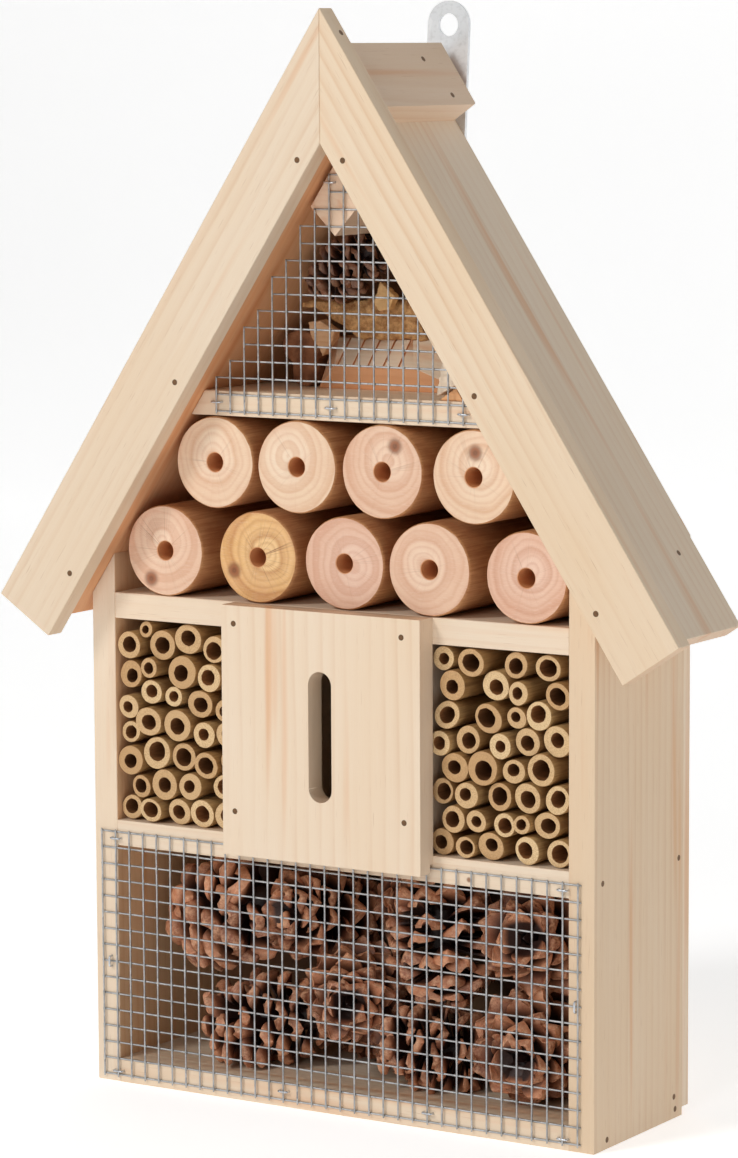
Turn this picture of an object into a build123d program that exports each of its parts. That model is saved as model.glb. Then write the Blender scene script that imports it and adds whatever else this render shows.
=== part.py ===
import os
from math import cos, hypot, pi, radians, sin, sqrt, tan

from build123d import *

# Insect hotel. Millimetres, +Z up, front towards -Y.
# Origin: middle of the body's underside. X runs across the front.

os.makedirs("parts", exist_ok=True)

# ---- body -------------------------------------------------------------------
BODY_W = 219.6
WALL_T = 10.5
FRONT_Y = -36.0
WALL_BACK_Y = 31.0
BACK_T = 5.0
REAR_Y = WALL_BACK_Y + BACK_T
BODY_D = WALL_BACK_Y - FRONT_Y
OUTER_X = BODY_W / 2
INNER_X = OUTER_X - WALL_T
BOTTOM_TOP_Z = 9.2
LOWER_SHELF_Z = (92.8, 102.6)
MIDDLE_SHELF_Z = (180.7, 190.6)
UPPER_SHELF_Z = (260.0, 269.4)
DIVIDER_T = 10.0
DIVIDER_X = (-38.8, 34.5)
BACK_PANEL_Z = 3.0

# ---- roof -------------------------------------------------------------------
ROOF_X = 6.0
APEX_Z = 410.0
SLOPE = radians(56.4)
BARGE_W = 26.8
BARGE_L = 265.0
BARGE_FRONT_Y = FRONT_Y - 17.2
BARGE_T = 8.5
BARGE_BACK_Y = BARGE_FRONT_Y + BARGE_T
PANEL_TOP = 18.0
PANEL_UNDER = 25.4
PANEL_L = 257.2
BACK_EDGE = 20.2
RIDGE_TOP = 7.0
RIDGE_L = 38.0
RIDGE_ROUND = 1.2

# ---- butterfly panel ----------------------------------------------------------
FACE_X = (-44.2, 42.4)
FACE_Z = (96.3, 190.5)
FACE_T = 9.0
SLOT_X = -0.8
SLOT_Z = (119.6, 168.4)
SLOT_W = 10.1
REBATE_H = 3.4
REBATE_D = 2.2

# ---- wire mesh ------------------------------------------------------------------
PITCH = 6.35
WIRE_D = 0.7
WIRE_END = 0.9
WIRE_SNIP = 0.36
LOW_MESH_X = -105.9
LOW_MESH_Z = 2.8
LOW_MESH_UPRIGHTS = 34
LOW_MESH_CROSS = 16
GABLE_MESH_X = -50.9
GABLE_MESH_Z = 261.8
GABLE_MESH_UPRIGHTS = 19
GABLE_MESH_CROSS = 15
GABLE_MESH_GAP = 0.1
GABLE_PITCH = 6.3

# ---- fasteners ------------------------------------------------------------------
HEAD_R = 1.1
HEAD_T = 0.7
SHANK_R = 0.7
DRILL_PLAY = 0.02
NAIL_L = 22.0
STAPLE_W = 4.0
STAPLE_WIRE = 0.8
STAPLE_LEG = 6.0
SCREW_HEAD_R = 3.1
SCREW_HEAD_T = 1.9
SCREW_R = 1.5
SCREW_L = 12.0

# ---- hanger -----------------------------------------------------------------------
HANGER_W = 18.0
HANGER_T = 1.5
HANGER_L = 84.0
HANGER_TILT = 2.6
HANGER_HOLE_R = 4.25
HANGER_HOLE_XZ = (6.0, 404.0)
HANGER_SCREW_DROPS = (52.0, 66.0)

# ---- filling ----------------------------------------------------------------------
LOG_L = 66.0
LOG_BORE_R = 3.5
LOG_BORE_L = 52.0
LOG_FRONT_Y = FRONT_Y - 1.0
TOP_LOG_R = 17.45
TOP_LOG_X = (-52.0, -15.6, 21.6, 60.3)
BOTTOM_LOG_R = 17.4
BOTTOM_LOG_X = (-75.0, -33.1, 5.1, 41.6)
END_LOG_R = 16.9
END_LOG_X = 82.2


def under_roof(x, n):
    """Height of the line that lies n inside the roof's outer line, at x."""
    return APEX_Z - abs(x - ROOF_X) * tan(SLOPE) - n / cos(SLOPE)


def reach(z, n):
    """Half width between the two lines that lie n inside the roof's outer lines, at z."""
    return (APEX_Z - z - n / cos(SLOPE)) / tan(SLOPE)


def on_slope(side, d, n):
    """X and Z of the point d down the slope from the ridge and n inside its outer line."""
    x = ROOF_X + side * (d * cos(SLOPE) - n * sin(SLOPE))
    return (x, APEX_Z - d * sin(SLOPE) - n * cos(SLOPE))


def mitred(side, n0, n1, d1):
    """Corners of a sloping board, mitred on the ridge line and cut square below."""
    return [
        on_slope(side, n0 * tan(SLOPE), n0),
        on_slope(side, d1, n0),
        on_slope(side, d1, n1),
        on_slope(side, n1 * tan(SLOPE), n1),
    ]


def facing(y):
    """Upright plane across the front at depth y; extrusions from it run forward."""
    return Plane.XZ.offset(-y)


def slope_plane(side, y, d, n):
    """Plane lying on a roof slope, its normal pointing out of the roof."""
    x, z = on_slope(side, d, n)
    return Plane(origin=(x, y, z), x_dir=(0, 1, 0), z_dir=(side * sin(SLOPE), 0, cos(SLOPE)))


# Nail places. D is the distance down the roof slope, N the distance inside its outer line.
# Ridge nails are given as (y, d, length), wall nails as (y, z), panel nails as (x, z).
BARGE_NAIL_D = (50.7, 149.5, 238.6)
BARGE_NAIL_N = 22.0
RIDGE_NAILS = ((11.7, 17.7, 12.0), (17.9, 33.7, 18.0))
ROOF_NAIL_Y = 16.4
ROOF_NAIL_D = {-1: 236.0, 1: 224.5}
ROOF_NAIL_L = 16.5
TIP_NAIL_Y = BARGE_FRONT_Y + 5.4
TIP_NAIL_D = 10.8
TIP_NAIL_L = 16.0
WALL_NAIL_YZ = ((-26.3, 3.4), (25.7, 3.4), (24.8, 8.2), (-29.9, 98.2), (27.8, 98.0))
FACE_NAIL_XZ = ((-38.8, 183.7), (34.5, 183.7), (-38.8, 113.0), (35.5, 115.6))

# Staple places: (x, z) and whether the crown lies across or upright.
LOW_STAPLES_ACROSS = ((-99.55, 95.6), (-99.55, 4.4), (97.3, 95.8), (97.3, 4.4), (-23.35, 6.2), (40.15, 6.3))
LOW_STAPLES_UPRIGHT = ((-102.6, 47.25), (102.6, 53.6))
TOP_STAPLE_XZ = (-0.4, 347.2)
GABLE_STAPLES = ((-50.9, 265.2), (-0.5, 264.9), (56.2, 265.0), TOP_STAPLE_XZ)

# ---- boards -----------------------------------------------------------------------
walls = {}
for side, name in ((-1, "left_side_wall"), (1, "right_side_wall")):
    outer = side * OUTER_X
    inner = side * INNER_X
    with BuildPart() as wall:
        with BuildSketch(facing(WALL_BACK_Y)):
            with BuildLine():
                Polyline(
                    (outer, 0),
                    (inner, 0),
                    (inner, under_roof(inner, PANEL_UNDER)),
                    (outer, under_roof(outer, PANEL_UNDER)),
                    close=True,
                )
            make_face()
        extrude(amount=BODY_D)
        with BuildSketch(Plane.YZ.offset(min(outer, inner))):
            with Locations(*WALL_NAIL_YZ):
                Circle(SHANK_R + DRILL_PLAY)
        extrude(amount=WALL_T, mode=Mode.SUBTRACT)
        head_face = outer if side < 0 else outer - HEAD_T
        with BuildSketch(Plane.YZ.offset(head_face)):
            with Locations(*WALL_NAIL_YZ):
                Circle(HEAD_R + DRILL_PLAY)
        extrude(amount=HEAD_T, mode=Mode.SUBTRACT)
        with BuildSketch(slope_plane(side, ROOF_NAIL_Y, ROOF_NAIL_D[side], PANEL_TOP)):
            Circle(SHANK_R + DRILL_PLAY)
        extrude(amount=-ROOF_NAIL_L, mode=Mode.SUBTRACT)
        leg_y = FRONT_Y + STAPLE_LEG
        with BuildSketch(facing(leg_y)):
            for x, z in LOW_STAPLES_UPRIGHT:
                if x * side > 0:
                    with Locations((x, z - STAPLE_W / 2), (x, z + STAPLE_W / 2)):
                        Circle(STAPLE_WIRE / 2 + DRILL_PLAY)
            for x, z in LOW_STAPLES_ACROSS:
                if x * side > INNER_X - STAPLE_W:
                    with Locations((x + side * STAPLE_W / 2, z)):
                        Circle(STAPLE_WIRE / 2 + DRILL_PLAY)
        extrude(amount=STAPLE_LEG, mode=Mode.SUBTRACT)
    walls[name] = wall

left_side_wall = walls["left_side_wall"]
left_side_wall.part.label = "left_side_wall"
export_step(left_side_wall.part, "parts/left_side_wall.step")
right_side_wall = walls["right_side_wall"]
right_side_wall.part.label = "right_side_wall"
export_step(right_side_wall.part, "parts/right_side_wall.step")

nail_reach = NAIL_L - WALL_T
boards = {}
for name, z0, z1 in (
    ("bottom_board", 0.0, BOTTOM_TOP_Z),
    ("lower_shelf", *LOWER_SHELF_Z),
    ("middle_shelf", *MIDDLE_SHELF_Z),
):
    with BuildPart() as board:
        with BuildSketch(facing(WALL_BACK_Y)):
            with Locations((0, (z0 + z1) / 2)):
                Rectangle(2 * INNER_X, z1 - z0)
        extrude(amount=BODY_D)
        for y, z in WALL_NAIL_YZ:
            if z0 < z < z1:
                for x in (-INNER_X, INNER_X - nail_reach):
                    with BuildSketch(Plane.YZ.offset(x)):
                        with Locations((y, z)):
                            Circle(SHANK_R + DRILL_PLAY)
                    extrude(amount=nail_reach, mode=Mode.SUBTRACT)
        for x, z in FACE_NAIL_XZ:
            if z0 < z < z1:
                with BuildSketch(facing(FRONT_Y + NAIL_L - FACE_T)):
                    with Locations((x, z)):
                        Circle(SHANK_R + DRILL_PLAY)
                extrude(amount=NAIL_L - FACE_T, mode=Mode.SUBTRACT)
        for x, z in LOW_STAPLES_ACROSS:
            if z0 < z < z1:
                for leg_x in (x - STAPLE_W / 2, x + STAPLE_W / 2):
                    if abs(leg_x) < INNER_X + STAPLE_WIRE:
                        with BuildSketch(facing(FRONT_Y + STAPLE_LEG)):
                            with Locations((leg_x, z)):
                                Circle(STAPLE_WIRE / 2 + DRILL_PLAY)
                        extrude(amount=STAPLE_LEG, mode=Mode.SUBTRACT)
    boards[name] = board

bottom_board = boards["bottom_board"]
bottom_board.part.label = "bottom_board"
export_step(bottom_board.part, "parts/bottom_board.step")
lower_shelf = boards["lower_shelf"]
lower_shelf.part.label = "lower_shelf"
export_step(lower_shelf.part, "parts/lower_shelf.step")
middle_shelf = boards["middle_shelf"]
middle_shelf.part.label = "middle_shelf"
export_step(middle_shelf.part, "parts/middle_shelf.step")

with BuildPart() as upper_shelf:
    low_w = reach(UPPER_SHELF_Z[0], PANEL_UNDER)
    high_w = reach(UPPER_SHELF_Z[1], PANEL_UNDER)
    with BuildSketch(facing(WALL_BACK_Y)):
        with BuildLine():
            Polyline(
                (ROOF_X - low_w, UPPER_SHELF_Z[0]),
                (ROOF_X + low_w, UPPER_SHELF_Z[0]),
                (ROOF_X + high_w, UPPER_SHELF_Z[1]),
                (ROOF_X - high_w, UPPER_SHELF_Z[1]),
                close=True,
            )
        make_face()
    extrude(amount=BODY_D)
    with BuildSketch(facing(FRONT_Y + STAPLE_LEG)):
        for x, z in GABLE_STAPLES:
            if z < UPPER_SHELF_Z[1]:
                with Locations((x - STAPLE_W / 2, z), (x + STAPLE_W / 2, z)):
                    Circle(STAPLE_WIRE / 2 + DRILL_PLAY)
    extrude(amount=STAPLE_LEG, mode=Mode.SUBTRACT)
upper_shelf.part.label = "upper_shelf"
export_step(upper_shelf.part, "parts/upper_shelf.step")

dividers = []
for x in DIVIDER_X:
    z_mid = (LOWER_SHELF_Z[1] + MIDDLE_SHELF_Z[0]) / 2
    with BuildPart() as divider:
        with BuildSketch(facing(WALL_BACK_Y)):
            with Locations((x, z_mid)):
                Rectangle(DIVIDER_T, MIDDLE_SHELF_Z[0] - LOWER_SHELF_Z[1])
        extrude(amount=BODY_D)
        with BuildSketch(facing(FRONT_Y + NAIL_L - FACE_T)):
            for nail_x, nail_z in FACE_NAIL_XZ:
                if abs(nail_x - x) < DIVIDER_T / 2 and nail_z < MIDDLE_SHELF_Z[0]:
                    with Locations((nail_x, nail_z)):
                        Circle(SHANK_R + DRILL_PLAY)
        extrude(amount=NAIL_L - FACE_T, mode=Mode.SUBTRACT)
    dividers.append(divider)
left_divider = dividers[0]
left_divider.part.label = "left_divider"
export_step(left_divider.part, "parts/left_divider.step")
right_divider = dividers[1]
right_divider.part.label = "right_divider"
export_step(right_divider.part, "parts/right_divider.step")

hanger_angle = radians(HANGER_TILT)
screw_xz = []
for drop in HANGER_SCREW_DROPS:
    screw_x = HANGER_HOLE_XZ[0] - drop * sin(hanger_angle)
    screw_xz.append((screw_x, HANGER_HOLE_XZ[1] - drop * cos(hanger_angle)))

with BuildPart() as back_panel:
    with BuildSketch(facing(REAR_Y)):
        with BuildLine():
            Polyline(
                (-OUTER_X, BACK_PANEL_Z),
                (OUTER_X, BACK_PANEL_Z),
                (OUTER_X, under_roof(OUTER_X, BACK_EDGE)),
                (ROOF_X, under_roof(ROOF_X, BACK_EDGE)),
                (-OUTER_X, under_roof(-OUTER_X, BACK_EDGE)),
                close=True,
            )
        make_face()
        with Locations(*screw_xz):
            Circle(SCREW_R + DRILL_PLAY, mode=Mode.SUBTRACT)
    extrude(amount=BACK_T)
back_panel.part.label = "back_panel"
export_step(back_panel.part, "parts/back_panel.step")

# ---- roof -------------------------------------------------------------------------
roof_parts = {}
for side, hand in ((-1, "left"), (1, "right")):
    with BuildPart() as roof_panel:
        with BuildSketch(facing(WALL_BACK_Y)):
            with BuildLine():
                Polyline(*mitred(side, PANEL_TOP, PANEL_UNDER, PANEL_L), close=True)
            make_face()
        extrude(amount=WALL_BACK_Y - BARGE_BACK_Y)
        with BuildSketch(facing(BARGE_BACK_Y + NAIL_L - BARGE_T)):
            with Locations(*[on_slope(side, d, BARGE_NAIL_N) for d in BARGE_NAIL_D]):
                Circle(SHANK_R + DRILL_PLAY)
        extrude(amount=NAIL_L - BARGE_T, mode=Mode.SUBTRACT)
        for y, d, length in RIDGE_NAILS:
            with BuildSketch(slope_plane(1, y, d, RIDGE_TOP)):
                Circle(SHANK_R + DRILL_PLAY)
            extrude(amount=-length, mode=Mode.SUBTRACT)
        with BuildSketch(slope_plane(side, ROOF_NAIL_Y, ROOF_NAIL_D[side], PANEL_TOP)):
            Circle(SHANK_R + DRILL_PLAY)
        extrude(amount=-ROOF_NAIL_L, mode=Mode.SUBTRACT)
        with BuildSketch(slope_plane(side, ROOF_NAIL_Y, ROOF_NAIL_D[side], PANEL_TOP)):
            Circle(HEAD_R + DRILL_PLAY)
        extrude(amount=-HEAD_T, mode=Mode.SUBTRACT)
    roof_parts[hand + "_roof_panel"] = roof_panel

    with BuildPart() as bargeboard:
        with BuildSketch(facing(BARGE_BACK_Y)):
            with BuildLine():
                Polyline(*mitred(side, 0, BARGE_W, BARGE_L), close=True)
            make_face()
            with Locations(*[on_slope(side, d, BARGE_NAIL_N) for d in BARGE_NAIL_D]):
                Circle(SHANK_R + DRILL_PLAY, mode=Mode.SUBTRACT)
        extrude(amount=BARGE_T)
        with BuildSketch(facing(BARGE_FRONT_Y + HEAD_T)):
            with Locations(*[on_slope(side, d, BARGE_NAIL_N) for d in BARGE_NAIL_D]):
                Circle(HEAD_R + DRILL_PLAY)
        extrude(amount=HEAD_T, mode=Mode.SUBTRACT)
        with BuildSketch(slope_plane(1, TIP_NAIL_Y, TIP_NAIL_D, 0)):
            Circle(SHANK_R + DRILL_PLAY)
        extrude(amount=-TIP_NAIL_L, mode=Mode.SUBTRACT)
        with BuildSketch(slope_plane(1, TIP_NAIL_Y, TIP_NAIL_D, 0)):
            Circle(HEAD_R + DRILL_PLAY)
        extrude(amount=-HEAD_T, mode=Mode.SUBTRACT)
    roof_parts[hand + "_bargeboard"] = bargeboard

    with BuildPart() as ridge_board:
        with BuildSketch(facing(WALL_BACK_Y)):
            with BuildLine():
                Polyline(*mitred(side, RIDGE_TOP, PANEL_TOP, RIDGE_L), close=True)
            make_face()
        extrude(amount=WALL_BACK_Y - BARGE_BACK_Y)
        rear_edges = ridge_board.edges().filter_by_position(Axis.Y, WALL_BACK_Y, WALL_BACK_Y)
        eave_edge = rear_edges.sort_by(Axis.Z)[:1]
        fillet(eave_edge, RIDGE_ROUND)
        for y, d, length in RIDGE_NAILS:
            with BuildSketch(slope_plane(1, y, d, RIDGE_TOP)):
                Circle(SHANK_R + DRILL_PLAY)
            extrude(amount=-length, mode=Mode.SUBTRACT)
            with BuildSketch(slope_plane(1, y, d, RIDGE_TOP)):
                Circle(HEAD_R + DRILL_PLAY)
            extrude(amount=-HEAD_T, mode=Mode.SUBTRACT)
    roof_parts[hand + "_ridge_board"] = ridge_board

for name, board in roof_parts.items():
    board.part.label = name
    export_step(board.part, f"parts/{name}.step")

# ---- butterfly panel ----------------------------------------------------------------
with BuildPart() as butterfly_panel:
    with BuildSketch(facing(FRONT_Y)):
        with Locations((sum(FACE_X) / 2, sum(FACE_Z) / 2)):
            Rectangle(FACE_X[1] - FACE_X[0], FACE_Z[1] - FACE_Z[0])
        with Locations((SLOT_X, sum(SLOT_Z) / 2)):
            SlotOverall(SLOT_Z[1] - SLOT_Z[0], SLOT_W, rotation=90, mode=Mode.SUBTRACT)
        with Locations(*FACE_NAIL_XZ):
            Circle(SHANK_R + DRILL_PLAY, mode=Mode.SUBTRACT)
    extrude(amount=FACE_T)
    with BuildSketch(facing(FRONT_Y - FACE_T + HEAD_T)):
        with Locations(*FACE_NAIL_XZ):
            Circle(HEAD_R + DRILL_PLAY)
    extrude(amount=HEAD_T, mode=Mode.SUBTRACT)
    with BuildSketch(facing(FRONT_Y)):
        with Locations((sum(FACE_X) / 2, FACE_Z[0] + REBATE_H / 2)):
            Rectangle(FACE_X[1] - FACE_X[0], REBATE_H)
    extrude(amount=REBATE_D, mode=Mode.SUBTRACT)
butterfly_panel.part.label = "butterfly_panel"
export_step(butterfly_panel.part, "parts/butterfly_panel.step")

# ---- hanger -------------------------------------------------------------------------
with BuildPart() as hanger_plate:
    hole_drop = HANGER_W / 2
    plate_drop = HANGER_L / 2 - hole_drop
    plate_x = HANGER_HOLE_XZ[0] - plate_drop * sin(hanger_angle)
    plate_z = HANGER_HOLE_XZ[1] - plate_drop * cos(hanger_angle)
    with BuildSketch(facing(REAR_Y + HANGER_T)):
        with Locations((plate_x, plate_z)):
            SlotOverall(HANGER_L, HANGER_W, rotation=90 - HANGER_TILT)
        with Locations(HANGER_HOLE_XZ):
            Circle(HANGER_HOLE_R, mode=Mode.SUBTRACT)
        with Locations(*screw_xz):
            Circle(SCREW_R + DRILL_PLAY, mode=Mode.SUBTRACT)
    extrude(amount=HANGER_T)
hanger_plate.part.label = "hanger_plate"
export_step(hanger_plate.part, "parts/hanger_plate.step")

with BuildPart() as hanger_screws:
    head_y = REAR_Y + HANGER_T
    with BuildSketch(facing(head_y)):
        with Locations(*screw_xz):
            Circle(SCREW_R)
    extrude(amount=SCREW_L)
    with BuildSketch(facing(head_y + SCREW_HEAD_T)):
        with Locations(*screw_xz):
            Circle(SCREW_HEAD_R)
    extrude(amount=SCREW_HEAD_T)
    crowns = hanger_screws.edges().filter_by_position(Axis.Y, head_y + SCREW_HEAD_T, head_y + SCREW_HEAD_T)
    fillet(crowns, SCREW_HEAD_T * 0.6)
hanger_screws.part.label = "hanger_screws"
export_step(hanger_screws.part, "parts/hanger_screws.step")

# ---- nails --------------------------------------------------------------------------
with BuildPart() as bargeboard_nails:
    nail_xz = [on_slope(side, d, BARGE_NAIL_N) for side in (-1, 1) for d in BARGE_NAIL_D]
    with BuildSketch(facing(BARGE_FRONT_Y + NAIL_L)):
        with Locations(*nail_xz):
            Circle(SHANK_R)
    extrude(amount=NAIL_L)
    with BuildSketch(facing(BARGE_FRONT_Y + HEAD_T)):
        with Locations(*nail_xz):
            Circle(HEAD_R)
    extrude(amount=HEAD_T)
    with BuildSketch(slope_plane(1, TIP_NAIL_Y, TIP_NAIL_D, 0)):
        Circle(SHANK_R)
    extrude(amount=-TIP_NAIL_L)
    with BuildSketch(slope_plane(1, TIP_NAIL_Y, TIP_NAIL_D, 0)):
        Circle(HEAD_R)
    extrude(amount=-HEAD_T)
bargeboard_nails.part.label = "bargeboard_nails"
export_step(bargeboard_nails.part, "parts/bargeboard_nails.step")

with BuildPart() as roof_nails:
    for y, d, length in RIDGE_NAILS:
        with BuildSketch(slope_plane(1, y, d, RIDGE_TOP)):
            Circle(SHANK_R)
        extrude(amount=-length)
        with BuildSketch(slope_plane(1, y, d, RIDGE_TOP)):
            Circle(HEAD_R)
        extrude(amount=-HEAD_T)
    for side in (-1, 1):
        with BuildSketch(slope_plane(side, ROOF_NAIL_Y, ROOF_NAIL_D[side], PANEL_TOP)):
            Circle(SHANK_R)
        extrude(amount=-ROOF_NAIL_L)
        with BuildSketch(slope_plane(side, ROOF_NAIL_Y, ROOF_NAIL_D[side], PANEL_TOP)):
            Circle(HEAD_R)
        extrude(amount=-HEAD_T)
roof_nails.part.label = "roof_nails"
export_step(roof_nails.part, "parts/roof_nails.step")

with BuildPart() as side_wall_nails:
    for shank_x, head_x in ((-OUTER_X, -OUTER_X), (OUTER_X - NAIL_L, OUTER_X - HEAD_T)):
        with BuildSketch(Plane.YZ.offset(shank_x)):
            with Locations(*WALL_NAIL_YZ):
                Circle(SHANK_R)
        extrude(amount=NAIL_L)
        with BuildSketch(Plane.YZ.offset(head_x)):
            with Locations(*WALL_NAIL_YZ):
                Circle(HEAD_R)
        extrude(amount=HEAD_T)
side_wall_nails.part.label = "side_wall_nails"
export_step(side_wall_nails.part, "parts/side_wall_nails.step")

with BuildPart() as panel_nails:
    with BuildSketch(facing(FRONT_Y - FACE_T + NAIL_L)):
        with Locations(*FACE_NAIL_XZ):
            Circle(SHANK_R)
    extrude(amount=NAIL_L)
    with BuildSketch(facing(FRONT_Y - FACE_T + HEAD_T)):
        with Locations(*FACE_NAIL_XZ):
            Circle(HEAD_R)
    extrude(amount=HEAD_T)
panel_nails.part.label = "panel_nails"
export_step(panel_nails.part, "parts/panel_nails.step")

# ---- wire mesh ----------------------------------------------------------------------
CROSS_Y = FRONT_Y - WIRE_D / 2
UPRIGHT_Y = CROSS_Y - WIRE_D

with BuildPart() as lower_mesh_uprights:
    with BuildSketch(Plane.XY.offset(LOW_MESH_Z - WIRE_END)):
        for i in range(LOW_MESH_UPRIGHTS):
            with Locations((LOW_MESH_X + i * PITCH, UPRIGHT_Y)):
                Circle(WIRE_D / 2)
    extrude(amount=(LOW_MESH_CROSS - 1) * PITCH + 2 * WIRE_END)
lower_mesh_uprights.part.label = "lower_mesh_uprights"
export_step(lower_mesh_uprights.part, "parts/lower_mesh_uprights.step")

with BuildPart() as lower_mesh_cross_wires:
    with BuildSketch(Plane.YZ.offset(LOW_MESH_X - WIRE_END)):
        for j in range(LOW_MESH_CROSS):
            with Locations((CROSS_Y, LOW_MESH_Z + j * PITCH)):
                Circle(WIRE_D / 2)
    extrude(amount=(LOW_MESH_UPRIGHTS - 1) * PITCH + 2 * WIRE_END)
lower_mesh_cross_wires.part.label = "lower_mesh_cross_wires"
export_step(lower_mesh_cross_wires.part, "parts/lower_mesh_cross_wires.step")

# The gable mesh is snipped in steps so that it stays between the roof slopes.
upright_rows = {}
cross_spans = []
for j in range(GABLE_MESH_CROSS):
    z = GABLE_MESH_Z + j * GABLE_PITCH
    half = reach(z + WIRE_D, PANEL_UNDER) - GABLE_MESH_GAP - WIRE_SNIP
    row = []
    for i in range(GABLE_MESH_UPRIGHTS):
        x = GABLE_MESH_X + i * GABLE_PITCH
        if abs(x - ROOF_X) < half:
            row.append(x)
            upright_rows.setdefault(i, []).append(z)
    cross_spans.append((z, row[0] - WIRE_SNIP, row[-1] + WIRE_SNIP))

with BuildPart() as gable_mesh_uprights:
    for i, rows in upright_rows.items():
        x = GABLE_MESH_X + i * GABLE_PITCH
        foot_z = rows[0] - WIRE_END
        top_z = rows[-1] + WIRE_SNIP
        if abs(x - TOP_STAPLE_XZ[0]) < STAPLE_W:
            top_z = max(top_z, TOP_STAPLE_XZ[1] + WIRE_END)
        with BuildSketch(Plane.XY.offset(foot_z)):
            with Locations((x, UPRIGHT_Y)):
                Circle(WIRE_D / 2)
        extrude(amount=top_z - foot_z)
gable_mesh_uprights.part.label = "gable_mesh_uprights"
export_step(gable_mesh_uprights.part, "parts/gable_mesh_uprights.step")

with BuildPart() as gable_mesh_cross_wires:
    for z, x0, x1 in cross_spans:
        with BuildSketch(Plane.YZ.offset(x0)):
            with Locations((CROSS_Y, z)):
                Circle(WIRE_D / 2)
        extrude(amount=x1 - x0)
gable_mesh_cross_wires.part.label = "gable_mesh_cross_wires"
export_step(gable_mesh_cross_wires.part, "parts/gable_mesh_cross_wires.step")

# Each staple is a square bend of wire: a crown over the mesh and two legs in the wood.
crown_y = UPRIGHT_Y - WIRE_D / 2 - STAPLE_WIRE / 2
low_staples = [(x, z, 1, 0) for x, z in LOW_STAPLES_ACROSS]
low_staples += [(x, z, 0, 1) for x, z in LOW_STAPLES_UPRIGHT]
gable_staples = [(x, z, 1, 0) for x, z in GABLE_STAPLES]
staple_sets = {}
for name, places in (("lower_mesh_staples", low_staples), ("gable_mesh_staples", gable_staples)):
    with BuildPart() as staples:
        for x, z, across, upright in places:
            dx = across * STAPLE_W / 2
            dz = upright * STAPLE_W / 2
            with BuildLine(mode=Mode.PRIVATE) as bend:
                FilletPolyline(
                    (x - dx, FRONT_Y + STAPLE_LEG, z - dz),
                    (x - dx, crown_y, z - dz),
                    (x + dx, crown_y, z + dz),
                    (x + dx, FRONT_Y + STAPLE_LEG, z + dz),
                    radius=STAPLE_WIRE,
                )
            with BuildSketch(facing(FRONT_Y + STAPLE_LEG)):
                with Locations((x - dx, z - dz)):
                    Circle(STAPLE_WIRE / 2)
            sweep(path=bend.wires()[0])
    staple_sets[name] = staples
lower_mesh_staples = staple_sets["lower_mesh_staples"]
lower_mesh_staples.part.label = "lower_mesh_staples"
export_step(lower_mesh_staples.part, "parts/lower_mesh_staples.step")
gable_mesh_staples = staple_sets["gable_mesh_staples"]
gable_mesh_staples.part.label = "gable_mesh_staples"
export_step(gable_mesh_staples.part, "parts/gable_mesh_staples.step")

# ---- drilled logs ---------------------------------------------------------------------
top_log_z = UPPER_SHELF_Z[0] - TOP_LOG_R
bottom_log_z = MIDDLE_SHELF_Z[1] + BOTTOM_LOG_R
log_places = [(f"top_log_{i + 1}", x, top_log_z, TOP_LOG_R) for i, x in enumerate(TOP_LOG_X)]
log_places += [(f"bottom_log_{i + 1}", x, bottom_log_z, BOTTOM_LOG_R) for i, x in enumerate(BOTTOM_LOG_X)]
log_places.append(("bottom_log_5", END_LOG_X, MIDDLE_SHELF_Z[1] + END_LOG_R, END_LOG_R))
for name, x, z, radius in log_places:
    with BuildPart() as log:
        with BuildSketch(facing(LOG_FRONT_Y + LOG_L)):
            with Locations((x, z)):
                Circle(radius)
        extrude(amount=LOG_L)
        with BuildSketch(facing(LOG_FRONT_Y + LOG_BORE_L)):
            with Locations((x, z)):
                Circle(LOG_BORE_R)
        extrude(amount=LOG_BORE_L, mode=Mode.SUBTRACT)
    log.part.label = name
    export_step(log.part, f"parts/{name}.step")

# ---- hollow stems -----------------------------------------------------------------------
# Outer diameters, left to right, one list per row from the bottom up.
LEFT_STEMS = [
    [10.2, 10.0, 10.4, 11.0, 11.8],
    [9.6, 12.6, 11.6, 10.4],
    [11.6, 12.6, 11.0, 11.3, 9.0],
    [9.8, 12.0, 13.4, 11.0, 10.4],
    [9.2, 10.6, 8.7, 12.4, 8.7],
    [11.6, 7.9, 13.2, 10.8, 8.4],
    [11.6, 11.8, 12.4, 11.2, 7.8],
    [6.4],
]
RIGHT_STEMS = [
    [10.1, 8.7, 11.0, 11.4, 10.7],
    [10.9, 9.0, 9.0, 7.2, 11.2],
    [10.5, 10.5, 11.3, 12.0, 10.9],
    [11.6, 12.8, 9.6, 13.0],
    [9.8, 11.5, 10.4, 10.4, 11.8],
    [11.8, 12.8, 8.8, 10.7],
    [11.3, 12.2, 9.5, 10.6],
    [9.8, 11.2, 10.2, 11.2],
]
STEM_GAP = 0.06
STEM_L = 62.0
STEM_FRONT_STEP = 0.5
NESTLE_TURNS = 900
STEM_BUNDLES = 2
STEM_ROWS_PER_BUNDLE = 4
LONE_STEM_SHARE = 0.18


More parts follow.
